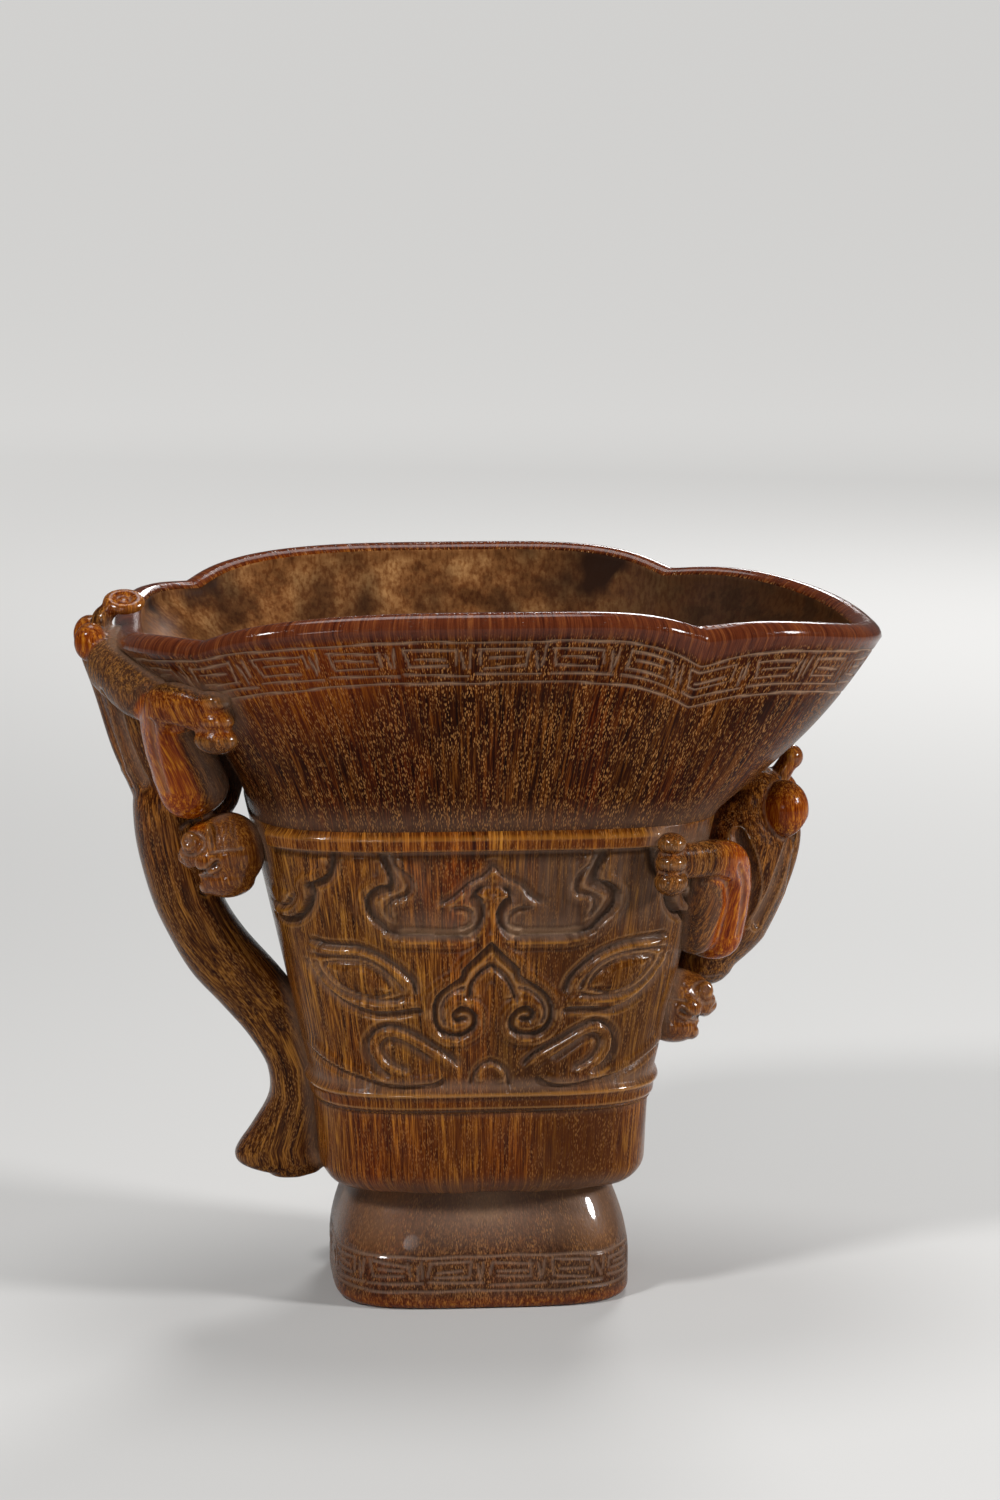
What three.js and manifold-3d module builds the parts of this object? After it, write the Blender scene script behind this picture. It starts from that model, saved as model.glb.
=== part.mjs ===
// A horn libation cup carved in the manner of an archaic ritual vessel.
// Millimetres, +Z up. The spout points along +X, the handle along -X and the front mask along -Y.
// The origin is the middle of the foot, on the surface that the cup stands on.
// The wall is a function of the angle round the cup and the height, and every carved element is
// placed by that angle, that height and its stand-off from the wall, so it follows the wall's sizes.
import * as THREE from "three";
import { mergeVertices } from "three/addons/utils/BufferGeometryUtils.js";
import Module from "manifold-3d";

const wasm = await Module();
wasm.setup();

// Heights of the storeys, from the standing surface upwards
const FOOT_HEIGHT = 21.5;
const BELT_HEIGHT = 16.5;
const LOWER_FILLET_HEIGHT = 3.3;
const FRIEZE_HEIGHT = 45.7;
const UPPER_FILLET_HEIGHT = 3.4;
const BOWL_HEIGHT_AT_SIDES = 41.1;
const BOWL_HEIGHT_AT_ENDS = 33;

// Plan sizes, from the axis outwards: lengths along X, widths along Y
const FOOT_HALF_LENGTH = 27.2;
const FOOT_HALF_WIDTH = 24;
const FOOT_NECK_INSET = 4.2;
const FOOT_EDGE_ROUND = 1.6;
const FOOT_RIM_WIDTH = 6.5;
const FOOT_RECESS_DEPTH = 5;
const BELT_HALF_LENGTH = 29.6;
const BELT_HALF_WIDTH = 26.4;
const BELT_EDGE_ROUND = 4.5;
const FRIEZE_FOOT_HALF_LENGTH = 31;
const FRIEZE_FOOT_HALF_WIDTH = 28;
const COLLAR_HALF_LENGTH = 42.2;
const COLLAR_HALF_WIDTH = 34.8;
const SPOUT_LENGTH = 73.5;
const HANDLE_END_LENGTH = 66;
const RIM_HALF_WIDTH = 52;

// Corner squareness of the plan: 2 is an ellipse, larger is squarer
const WALL_SQUARENESS = 4;
const SPOUT_SQUARENESS = 2.5;
const HANDLE_END_SQUARENESS = 4;
const HOLLOW_SQUARENESS = 2.6;

// Lobes of the mouth: a notch at each corner parts the side lobes from the spout and the handle end
const NOTCH_DEPTH = 3.2;
const NOTCH_DIP = 2.5;
const NOTCH_SPREAD_DEG = 8;
const NOTCH_SHARPNESS = 1.3;
const SPOUT_NOTCH_FRONT_DEG = 50.5;
const SPOUT_NOTCH_BACK_DEG = 45.5;
const HANDLE_NOTCH_DEG = 38;

// Flare of the bowl: the spout swells out early, the side walls lean out evenly, the handle end late
const SPOUT_SWELL = 0.36;
const SIDE_FLARE = 1.15;
const HANDLE_END_FLARE = 1.5;

// Hollow of the cup
const LIP_THICKNESS = 5.5;
const COLLAR_WALL = 8;
const WAIST_WALL = 10.5;
const FLOOR_THICKNESS = 26;
const FLOOR_ROUND = 7;

// Raised work
const SEAT_GAP = 0.3;
const UPPER_FILLET_RELIEF = 1.5;
const UPPER_FILLET_SPOUT_DEG = 47;
const UPPER_FILLET_HANDLE_DEG = 32;
const LOWER_FILLET_GAP_DEG = 6;
const LOWER_FILLET_RELIEF = 1;
const MASK_RELIEF = 1.3;
const EYE_GROUND_RELIEF = 0.6;
const MASK_BAND_WIDTH = 1.9;
const BROW_BAND_WIDTH = 1.5;

// Handle: a bracket that bows out below the dragon, runs in to the waist and ends in a spur
const HANDLE_BOW = 22;
const HANDLE_GAP = 9;
const HANDLE_WAIST = 8;
const SPUR_REACH = 15.8;
const SPUR_DROP = 0.9;
const HANDLE_TOP_HALF_WIDTH = 10;
const HANDLE_FOOT_HALF_WIDTH = 6.5;
const HANDLE_ROOT = 2;
const HANDLE_SQUARENESS = 2.6;

// Dragons: how far the spine stands off the wall, and the sizes of the limbs
const SPOUT_DRAGON_REACH = 13.6;
const HANDLE_DRAGON_REACH = 14.6;
const ARM_RADIUS = 4;
const ARM_FLATNESS = 0.85;
const SHOULDER_RADIUS = 4.8;
const WRIST_RADIUS = 3;
const TOE_LENGTH = 3.2;
const TOE_WIDTH = 2.4;
const TOE_THICKNESS = 1.7;
const TOE_PITCH = 2.7;
const TOE_COUNT = 3;
const SKULL_RADIUS = 7.6;
const BODY_HALF_WIDTH = 10;
const BODY_HALF_THICKNESS = 6;
const BODY_ROOT = 2;
const SPOUT_HAUNCH_RADIUS = 4.2;
const HANDLE_HAUNCH_RADIUS = 3;
const TAIL_RADIUS = 3;
const TAIL_HALF_WIDTH = 3.6;

// Fineness of the facets
const WALL_SIDES = 48;
const LIMB_SIDES = 8;
const LIMB_STEPS = 8;
const BALL_SIDES = 8;
const SMALL_BALL_SIDES = 6;
const MERGE_DISTANCE = 1e-4;

const LEVEL = {};
LEVEL.belt = FOOT_HEIGHT;
LEVEL.lowerFillet = LEVEL.belt + BELT_HEIGHT;
LEVEL.frieze = LEVEL.lowerFillet + LOWER_FILLET_HEIGHT;
LEVEL.upperFillet = LEVEL.frieze + FRIEZE_HEIGHT;
LEVEL.bowl = LEVEL.upperFillet + UPPER_FILLET_HEIGHT;
LEVEL.rimAtSides = LEVEL.bowl + BOWL_HEIGHT_AT_SIDES;
LEVEL.rimAtEnds = LEVEL.bowl + BOWL_HEIGHT_AT_ENDS;
LEVEL.floor = LEVEL.belt + FLOOR_THICKNESS;

const { clamp, degToRad, lerp } = THREE.MathUtils;
const HORN = { color: 0x6b3a16, roughness: 0.38, metalness: 0 };
const DARK_HORN = { color: 0x4a2917, roughness: 0.34, metalness: 0 };
const AMBER_HORN = { color: 0x94501a, roughness: 0.3, metalness: 0 };

const FRONT = -1;
const BACK = 1;
const SPOUT = 1;
const HANDLE = -1;

// Solids

function toSolid(geometry) {
  const bare = geometry.clone();
  bare.deleteAttribute("normal");
  bare.deleteAttribute("uv");
  const merged = mergeVertices(bare, MERGE_DISTANCE);
  return new wasm.Manifold(
    new wasm.Mesh({
      numProp: 3,
      vertProperties: new Float32Array(merged.attributes.position.array),
      triVerts: new Uint32Array(merged.index.array),
    }),
  );
}

function toGeometry(solid) {
  const made = solid.getMesh();
  const geometry = new THREE.BufferGeometry();
  geometry.setAttribute("position", new THREE.BufferAttribute(new Float32Array(made.vertProperties), 3));
  geometry.setIndex(new THREE.BufferAttribute(new Uint32Array(made.triVerts), 1));
  const faceted = geometry.toNonIndexed();
  faceted.computeVertexNormals();
  return faceted;
}

// A mirror image across the plane where the named axis is zero, with its faces turned out again.
function mirrored(geometry, axis) {
  const image = geometry.clone();
  image.scale(axis === "x" ? -1 : 1, axis === "y" ? -1 : 1, 1);
  const places = image.attributes.position;
  const held = new THREE.Vector3();
  const swapped = new THREE.Vector3();
  for (let face = 0; face < places.count; face += 3) {
    held.fromBufferAttribute(places, face + 1);
    swapped.fromBufferAttribute(places, face + 2);
    places.setXYZ(face + 1, swapped.x, swapped.y, swapped.z);
    places.setXYZ(face + 2, held.x, held.y, held.z);
  }
  image.computeVertexNormals();
  return image;
}

function joined(solids) {
  return solids.reduce((whole, next) => whole.add(next));
}

// The largest body of a solid: what a cut leaves on the far side of the wall is dropped.
function mainBody(solid) {
  return solid.decompose().reduce((best, next) => (next.volume() > best.volume() ? next : best));
}

// A closed skin over rings of equally many points, with a fan of faces over each end ring.
function loft(rings) {
  const count = rings[0].length;
  const centres = [rings[0], rings.at(-1)].map((ring) =>
    ring.reduce((sum, point) => sum.add(point), new THREE.Vector3()).divideScalar(count),
  );
  const points = [...rings.flat(), ...centres];
  const start = rings.length * count;
  const last = start - count;
  const faces = [];
  for (let j = 0; j < count; j++) {
    const k = (j + 1) % count;
    for (let i = 0; i < rings.length - 1; i++) {
      const low = i * count;
      const high = low + count;
      faces.push(low + j, low + k, high + k, low + j, high + k, high + j);
    }
    faces.push(start, k, j, start + 1, last + j, last + k);
  }
  const geometry = new THREE.BufferGeometry().setFromPoints(points);
  geometry.setIndex(faces);
  return toSolid(geometry);
}

function ball(centre, radii, turn = new THREE.Matrix4(), sides = BALL_SIDES) {
  const geometry = new THREE.SphereGeometry(1, sides, sides - 2);
  geometry.scale(radii.x, radii.y, radii.z);
  geometry.applyMatrix4(turn);
  geometry.translate(centre.x, centre.y, centre.z);
  return toSolid(geometry);
}

// The wall

function superellipse(angle, halfLength, halfWidth, squareness) {
  const along = Math.abs(Math.cos(angle)) / halfLength;
  const across = Math.abs(Math.sin(angle)) / halfWidth;
  return (along ** squareness + across ** squareness) ** (-1 / squareness);
}

// How deep in a rim notch an angle lies, from 0 on a lobe to 1 at the bottom of the notch.
function notchAt(angle) {
  const fromEnd = Math.acos(Math.abs(Math.cos(angle)));
  const spoutNotch = Math.sin(angle) < 0 ? SPOUT_NOTCH_FRONT_DEG : SPOUT_NOTCH_BACK_DEG;
  const notch = degToRad(Math.cos(angle) > 0 ? spoutNotch : HANDLE_NOTCH_DEG);
  return Math.exp(-((Math.abs(fromEnd - notch) / degToRad(NOTCH_SPREAD_DEG)) ** NOTCH_SHARPNESS));
}

function rimRadius(angle) {
  const towardsSpout = Math.cos(angle) > 0;
  const length = towardsSpout ? SPOUT_LENGTH : HANDLE_END_LENGTH;
  const squareness = towardsSpout ? SPOUT_SQUARENESS : HANDLE_END_SQUARENESS;
  return superellipse(angle, length, RIM_HALF_WIDTH, squareness) - NOTCH_DEPTH * notchAt(angle);
}

function rimHeight(angle) {
  return lerp(LEVEL.rimAtSides, LEVEL.rimAtEnds, Math.cos(angle) ** 4) - NOTCH_DIP * notchAt(angle);
}

// Where the outer wall ends and the round of the lip begins.
function lipFoot(angle) {
  return rimHeight(angle) - LIP_THICKNESS / 2;
}

// The bowl's outer wall, at a share of the way up from the collar to the rim.
function bowlRadius(angle, share) {
  const collar = superellipse(angle, COLLAR_HALF_LENGTH, COLLAR_HALF_WIDTH, WALL_SQUARENESS);
  const sideLean = share ** SIDE_FLARE;
  const spoutLean = lerp(share, 1 - (1 - share) ** 3, SPOUT_SWELL);
  const endLean = Math.cos(angle) > 0 ? spoutLean : share ** HANDLE_END_FLARE;
  return lerp(collar, rimRadius(angle), lerp(sideLean, endLean, Math.cos(angle) ** 2));
}

// Half length and half width of the wall below the bowl, with the belt's rounded lower edge.
function planAt(height) {
  const rounding = clamp((height - LEVEL.belt) / BELT_EDGE_ROUND, 0, 1);
  const inset = BELT_EDGE_ROUND * (1 - Math.sqrt(1 - (1 - rounding) ** 2));
  if (height <= LEVEL.frieze) {
    const up = (height - LEVEL.belt) / (LEVEL.frieze - LEVEL.belt);
    return {
      halfLength: lerp(BELT_HALF_LENGTH, FRIEZE_FOOT_HALF_LENGTH, up) - inset,
      halfWidth: lerp(BELT_HALF_WIDTH, FRIEZE_FOOT_HALF_WIDTH, up) - inset,
    };
  }
  const up = (height - LEVEL.frieze) / (LEVEL.bowl - LEVEL.frieze);
  return {
    halfLength: lerp(FRIEZE_FOOT_HALF_LENGTH, COLLAR_HALF_LENGTH, up),
    halfWidth: lerp(FRIEZE_FOOT_HALF_WIDTH, COLLAR_HALF_WIDTH, up),
  };
}

function wallRadius(angle, height) {
  if (height >= LEVEL.bowl) {
    return bowlRadius(angle, Math.min(1, (height - LEVEL.bowl) / (lipFoot(angle) - LEVEL.bowl)));
  }
  const plan = planAt(height);
  return superellipse(angle, plan.halfLength, plan.halfWidth, WALL_SQUARENESS);
}

function polar(angle, radius, height) {
  return new THREE.Vector3(radius * Math.cos(angle), radius * Math.sin(angle), height);
}

// A point by its angle from one end of the cup towards the front or the back.
function around(end, side, degrees, height, standoff) {
  const turn = degToRad(degrees);
  const angle = Math.atan2(side * Math.sin(turn), end * Math.cos(turn));
  return polar(angle, wallRadius(angle, height) + standoff, height);
}

const WALL_ANGLES = Array.from({ length: WALL_SIDES }, (_, i) => (i * 2 * Math.PI) / WALL_SIDES);

function wallRing(radiusAt, heightAt) {
  return WALL_ANGLES.map((angle) => polar(angle, radiusAt(angle), heightAt(angle)));
}

function outerWallRings(offset) {
  const belowBowl = [0, 0.1, 0.35, 1].map((share) => LEVEL.belt + share * BELT_EDGE_ROUND);
  belowBowl.push(LEVEL.lowerFillet);
  belowBowl.push(LEVEL.frieze, lerp(LEVEL.frieze, LEVEL.bowl, 0.5));
  const rings = belowBowl.map((height) =>
    wallRing((angle) => wallRadius(angle, height) + offset, () => height),
  );
  for (const share of [0, 0.12, 0.25, 0.4, 0.55, 0.7, 0.85]) rings.push(bowlRing(share, offset));
  return rings;
}

function bowlRing(share, offset) {
  return wallRing(
    (angle) => bowlRadius(angle, share) + offset,
    (angle) => lerp(LEVEL.bowl, lipFoot(angle), share),
  );
}

// The half-round lip, from the outer wall over to the inner wall.
function lipRings(offset) {
  const round = LIP_THICKNESS / 2;
  return [0, 45, 90, 135, 180].map((degrees) => {
    const turn = degToRad(degrees);
    return wallRing(
      (angle) => rimRadius(angle) - round + (round + offset) * Math.cos(turn),
      (angle) => lipFoot(angle) + (round + offset) * Math.sin(turn),
    );
  });
}

function hollowRings() {
  const rings = [0.8, 0.55, 0.3, 0.1].map((share) =>
    wallRing(
      (angle) => bowlRadius(angle, share) - lerp(COLLAR_WALL, LIP_THICKNESS, share),
      (angle) => lerp(LEVEL.bowl, lipFoot(angle), share),
    ),
  );
  const deepRing = (height, inset, level = height) => {
    const plan = planAt(height);
    const halfLength = plan.halfLength - inset;
    const halfWidth = plan.halfWidth - inset;
    const radiusAt = (angle) => superellipse(angle, halfLength, halfWidth, HOLLOW_SQUARENESS);
    return wallRing(radiusAt, () => level);
  };
  const cornerTop = LEVEL.floor + FLOOR_ROUND;
  rings.push(deepRing(LEVEL.upperFillet, WAIST_WALL));
  rings.push(deepRing(lerp(cornerTop, LEVEL.upperFillet, 0.5), WAIST_WALL));
  for (const degrees of [0, 45, 90]) {
    const turn = degToRad(degrees);
    const inset = WAIST_WALL + FLOOR_ROUND * (1 - Math.cos(turn));
    rings.push(deepRing(cornerTop, inset, cornerTop - FLOOR_ROUND * Math.sin(turn)));
  }
  return rings;
}

function vessel() {
  return loft([...outerWallRings(0), ...lipRings(0), ...hollowRings()]);
}

// The vessel's outside as a plain block, grown by an offset, for seating the raised work on it.
function wallBlock(offset) {
  return loft([...outerWallRings(offset), ...lipRings(offset).slice(0, 3)]);
}

// The foot: a spreading block with rounded sides, hollowed from below

function foot() {
  const ring = (inset, height) =>
    wallRing(
      (angle) => superellipse(angle, FOOT_HALF_LENGTH - inset, FOOT_HALF_WIDTH - inset, WALL_SQUARENESS),
      () => height,
    );
  const rings = [
    ring(FOOT_RIM_WIDTH, FOOT_RECESS_DEPTH),
    ring(FOOT_RIM_WIDTH, 0),
    ring(FOOT_EDGE_ROUND, 0),
    ring(0.3 * FOOT_EDGE_ROUND, 0.3 * FOOT_EDGE_ROUND),
    ring(0, FOOT_EDGE_ROUND),
  ];
  const upright = 0.35;
  for (const share of [upright, 0.6, 0.82, 1]) {
    const lean = ((share - upright) / (1 - upright)) ** 1.7;
    rings.push(ring(FOOT_NECK_INSET * lean, share * FOOT_HEIGHT));
  }
  return loft(rings);
}

// Fillets

// A band round part of the wall: its section swells from nothing at each end where it is open.
function filletBand(from, to, low, high, relief) {
  const whole = to - from >= 360;
  const steps = Math.round((to - from) / (360 / WALL_SIDES));
  const height = high - low;
  const section = [[0, 1], [1, 0.74], [1, 0.26], [0, 0]];
  const rings = [];
  for (let i = 0; i <= steps; i++) {
    const share = i / steps;
    const swell = whole ? 1 : Math.min(1, 0.25 + 6 * Math.min(share, 1 - share));
    const angle = degToRad(lerp(from, to, share));
    rings.push(
      section.map(([out, up]) => {
        const level = low + up * height;
        return polar(angle, wallRadius(angle, level) + SEAT_GAP + out * relief * swell, level);
      }),
    );
  }
  return loft(rings);
}

function upperFillet() {
  return filletBand(
    UPPER_FILLET_HANDLE_DEG - 180,
    -UPPER_FILLET_SPOUT_DEG,
    LEVEL.upperFillet,
    LEVEL.bowl,
    UPPER_FILLET_RELIEF,
  );
}

// The lower fillet runs round from one side of the handle to the other.
function lowerFillet(handleClearance) {
  const band = filletBand(
    LOWER_FILLET_GAP_DEG - 180,
    180 - LOWER_FILLET_GAP_DEG,
    LEVEL.lowerFillet,
    LEVEL.frieze,
    LOWER_FILLET_RELIEF,
  );
  return mainBody(band.subtract(handleClearance));
}

// The mask: raised bands drawn on a grid over the frieze, then laid on the curved wall

const GRID_ROWS = 46;
const GRID_COLUMNS = 31;

function onGrid(column, row) {
  return new THREE.Vector2(
    (column * FRIEZE_FOOT_HALF_LENGTH) / GRID_COLUMNS,
    LEVEL.frieze + (row * FRIEZE_HEIGHT) / GRID_ROWS,
  );
}

function smoothLine(gridPoints, steps) {
  const points = gridPoints.map(([column, row]) => onGrid(column, row));
  return new THREE.SplineCurve(points).getPoints(steps);
}

// A band of even width along a line, tapered towards its two ends.
function band(line, width) {
  const left = [];
  const right = [];
  line.forEach((point, i) => {
    const before = line[Math.max(0, i - 1)];
    const after = line[Math.min(line.length - 1, i + 1)];
    const along = after.clone().sub(before).normalize();
    const share = i / (line.length - 1);
    const half = (width / 2) * Math.min(1, 0.35 + 8 * Math.min(share, 1 - share));
    left.push(new THREE.Vector2(point.x - along.y * half, point.y + along.x * half));
    right.push(new THREE.Vector2(point.x + along.y * half, point.y - along.x * half));
  });
  return new THREE.Shape([...right, ...left.reverse()]);
}

function spiral(column, row, fromRadius, toRadius, fromDegrees, toDegrees, steps) {
  return Array.from({ length: steps + 1 }, (_, i) => {
    const angle = degToRad(lerp(fromDegrees, toDegrees, i / steps));
    const radius = lerp(fromRadius, toRadius, i / steps);
    return [column + radius * Math.cos(angle), row + radius * Math.sin(angle)];
  });
}

// A line from the drawing's left half, over the middle, to its mirror image.
function acrossMiddle(halfLine) {
  const otherHalf = halfLine.slice(0, -1).map(([column, row]) => [-column, row]);
  return [...halfLine, ...otherHalf.reverse()];
}

function noseShape() {
  const scroll = spiral(6.2, 13.6, 1.3, 4.6, -260, 70, 9);
  const halfLine = [...scroll, [5.4, 21.6], [4.6, 24], [2, 26.2], [0, 28]];
  return band(smoothLine(acrossMiddle(halfLine), 30), MASK_BAND_WIDTH);
}

function browShape() {
  const halfLine = [[9, 35], [6.6, 38.6], [3.2, 40.2], [0, 43]];
  return band(smoothLine(acrossMiddle(halfLine), 14), BROW_BAND_WIDTH);
}

function hornShape() {
  const hook = [[20.8, 43.4], [18.6, 39.6], [21.6, 37.4], [22.4, 34]];
  const underside = [[18, 29.2], [11, 28.8], [4.6, 29.2], [2, 32], [2.4, 36]];
  return band(smoothLine([...hook, ...underside], 22), MASK_BAND_WIDTH);
}

function jawShape() {
  const line = [[6, 4.2], [12.6, 10.4], [16.8, 12.4], [20.6, 11.4], [21.8, 8], [20, 4]];
  return band(smoothLine(line, 15), MASK_BAND_WIDTH);
}

const EYE_RIM = [[13, 17.4], [16.6, 22.6], [23, 26], [31, 27.2], [30.4, 22], [26, 17], [19.4, 15.2]];
const EYE_CENTRE = [22.8, 21];
const EYE_HOLLOW_SHARE = 0.78;
const PUPIL_SHARE = 0.46;
const EYE_SIDES = 13;

function eyeOutline(share) {
  const [column, row] = EYE_CENTRE;
  const points = EYE_RIM.map(([c, r]) => onGrid(lerp(column, c, share), lerp(row, r, share)));
  return new THREE.SplineCurve([...points, points[0]]).getPoints(EYE_SIDES).slice(0, -1);
}

// A flat drawing pushed through the front wall.
function throughFront(shape) {
  const depth = RIM_HALF_WIDTH;
  const geometry = new THREE.ExtrudeGeometry(shape, { depth, bevelEnabled: false });
  geometry.rotateX(Math.PI / 2);
  return toSolid(geometry);
}

const seatBlock = wallBlock(SEAT_GAP);
const maskBlock = wallBlock(SEAT_GAP + MASK_RELIEF);
const eyeBlock = wallBlock(SEAT_GAP + EYE_GROUND_RELIEF);

function raised(shape, block = maskBlock) {
  return throughFront(shape).intersect(block).subtract(seatBlock);
}

function raisedEye() {
  const whole = new THREE.Shape(eyeOutline(1));
  const hollow = new THREE.Shape(eyeOutline(EYE_HOLLOW_SHARE));
  const pupil = new THREE.Shape(eyeOutline(PUPIL_SHARE));
  const rim = raised(whole).subtract(throughFront(hollow));
  return joined([raised(whole, eyeBlock), rim, raised(pupil)]);
}

function maskParts() {
  const half = { horn: raised(hornShape()), eye: raisedEye(), jaw: raised(jawShape()) };
  const parts = { nose: toGeometry(raised(noseShape())), brow: toGeometry(raised(browShape())) };
  for (const [name, solid] of Object.entries(half)) {
    parts[`right_${name}`] = toGeometry(solid);
    parts[`left_${name}`] = mirrored(parts[`right_${name}`], "x");
  }
  return parts;
}

// Swept forms: limbs, bodies and the handle

// A round-ended form swept through stations, each a place with its breadth and thickness.
function sweep(stations, grow = 0) {
  const curve = new THREE.CatmullRomCurve3(stations.map((station) => station.at));
  const sizeAt = (share) => {
    const place = share * (stations.length - 1);
    const low = Math.min(Math.floor(place), stations.length - 2);
    const part = place - low;
    return {
      broad: lerp(stations[low].broad, stations[low + 1].broad, part) + grow,
      thick: lerp(stations[low].thick, stations[low + 1].thick, part) + grow,
    };
  };
  const ring = (share, shift, scale) => {
    const centre = curve.getPoint(share);
    const along = curve.getTangent(share);
    const outward = new THREE.Vector3(centre.x, centre.y, 0).normalize();
    const out = outward.addScaledVector(along, -outward.dot(along)).normalize();
    const across = new THREE.Vector3().crossVectors(along, out);
    const { broad, thick } = sizeAt(share);
    centre.addScaledVector(along, shift * Math.min(broad, thick));
    return Array.from({ length: LIMB_SIDES }, (_, j) => {
      const turn = (j * 2 * Math.PI) / LIMB_SIDES;
      return centre
        .clone()
        .addScaledVector(out, scale * thick * Math.cos(turn))
        .addScaledVector(across, scale * broad * Math.sin(turn));
    });
  };
  const rings = [ring(0, -0.9, 0.45), ring(0, -0.55, 0.84)];
  for (let step = 0; step <= LIMB_STEPS; step++) rings.push(ring(step / LIMB_STEPS, 0, 1));
  rings.push(ring(1, 0.55, 0.84), ring(1, 0.9, 0.45));
  return loft(rings);
}

// Dragons: each clings head down to one end of the cup, its head turned to the front.
// Heights are shares of the storey that the dragon climbs, and stand-offs shares of its reach.

const DRAGONS = {
  spout: {
    end: SPOUT,
    level: (share) => LEVEL.upperFillet + share * FRIEZE_HEIGHT,
    reach: SPOUT_DRAGON_REACH,
    arm: [
      { deg: 46, up: -0.079, off: 0.14 },
      { deg: 39, up: -0.044, off: 0.12 },
      { deg: 25, up: -0.1, off: 0.37 },
      { deg: 18, up: -0.295, off: 0.5 },
      { deg: 15, up: -0.46, off: 0.53 },
    ],
    head: { deg: 19, up: -0.713, off: 0.32 },
    spine: [
      { up: -0.57, off: 0.65, size: 0.8, rooted: 0.6 },
      { up: -0.44, off: 0.84, size: 1, rooted: 1 },
      { up: -0.263, off: 0.97, size: 1, rooted: 1 },
      { up: -0.0875, off: 1, size: 0.95, rooted: 1 },
      { up: 0.055, off: 0.81, size: 0.85, rooted: 1 },
    ],
    haunch: { deg: 6, up: 0.026, off: 1.14, radius: SPOUT_HAUNCH_RADIUS },
    tail: [
      { up: 0.0875, off: 0.956 },
      { up: 0.149, off: 0.706 },
      { up: 0.232, off: 0.368 },
    ],
  },
  handle: {
    end: HANDLE,
    level: (share) => LEVEL.bowl + share * BOWL_HEIGHT_AT_ENDS,
    reach: HANDLE_DRAGON_REACH,
    arm: [
      { deg: 36.6, up: 0.648, off: 0.15 },
      { deg: 32, up: 0.74, off: 0.19 },
      { deg: 26, up: 0.642, off: 0.4 },
      { deg: 19, up: 0.348, off: 0.7 },
      { deg: 15, up: 0.152, off: 0.82 },
    ],
    head: { deg: 20, up: -0.17, off: 0.534 },
    spine: [
      { up: 0.121, off: 1, size: 0.95, rooted: 0 },
      { up: 0.324, off: 0.918, size: 1, rooted: 0.7 },
      { up: 0.633, off: 0.541, size: 1, rooted: 1 },
      { up: 0.818, off: 0.288, size: 0.85, rooted: 1 },
    ],
    haunch: { deg: 4.1, up: 0.921, off: 0.308, radius: HANDLE_HAUNCH_RADIUS },
    tail: [
      { up: 0.909, off: 0.315 },
      { up: 1.073, off: 0.11 },
      { up: 1.103, off: -0.178 },
    ],
  },
};

function dragonPoint(dragon, side, { deg = 0, up, off }) {
  return around(dragon.end, side, deg, dragon.level(up), off * dragon.reach);
}

// The body is rooted in the wall behind it, as far as each station says, and free of it where an arm passes.
function dragonBody(dragon, grow = 0) {
  const torso = sweep(
    dragon.spine.map(({ up, off, size, rooted }) => {
      const standoff = off * dragon.reach;
      const outer = standoff + BODY_HALF_THICKNESS * size;
      const inner = lerp(standoff - BODY_HALF_THICKNESS * size, -BODY_ROOT, rooted);
      return {
        at: around(dragon.end, FRONT, 0, dragon.level(up), (outer + inner) / 2),
        broad: BODY_HALF_WIDTH * size,
        thick: (outer - inner) / 2,
      };
    }),
    grow,
  );
  const haunches = [FRONT, BACK].map((side) => {
    const centre = dragonPoint(dragon, side, dragon.haunch);
    return ball(centre, new THREE.Vector3().setScalar(dragon.haunch.radius + grow));
  });
  return joined([torso, ...haunches]);
}

// The tail rises between the haunches and ends in a round tip.
function dragonTail(dragon) {
  return sweep(
    dragon.tail.map((station) => ({
      at: dragonPoint(dragon, FRONT, station),
      broad: TAIL_HALF_WIDTH,
      thick: TAIL_RADIUS,
    })),
  );
}

// An arm, from its paw on the wall over the elbow to the shoulder.
function dragonArm(dragon, side, grow = 0) {
  const upperArm = lerp(ARM_RADIUS, SHOULDER_RADIUS, 0.6);
  const radii = [WRIST_RADIUS, WRIST_RADIUS, ARM_RADIUS, upperArm, SHOULDER_RADIUS];
  const places = dragon.arm.map((station) => dragonPoint(dragon, side, station));
  const limb = sweep(
    places.map((at, i) => ({ at, broad: radii[i], thick: ARM_FLATNESS * radii[i] })),
    grow,
  );
  const [paw, wrist] = places;
  const reach = paw.clone().sub(wrist).normalize();
  const turn = new THREE.Matrix4().makeRotationZ(Math.atan2(reach.y, reach.x));
  const toeRadii = new THREE.Vector3(TOE_LENGTH, TOE_WIDTH, TOE_THICKNESS).addScalar(grow);
  const toes = Array.from({ length: TOE_COUNT }, (_, i) => {
    const centre = paw.clone().addScaledVector(reach, 0.6 * TOE_LENGTH);
    centre.z += (i - (TOE_COUNT - 1) / 2) * TOE_PITCH;
    return ball(centre, toeRadii, turn, SMALL_BALL_SIDES);
  });
  return joined([limb, ...toes]);
}

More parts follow.
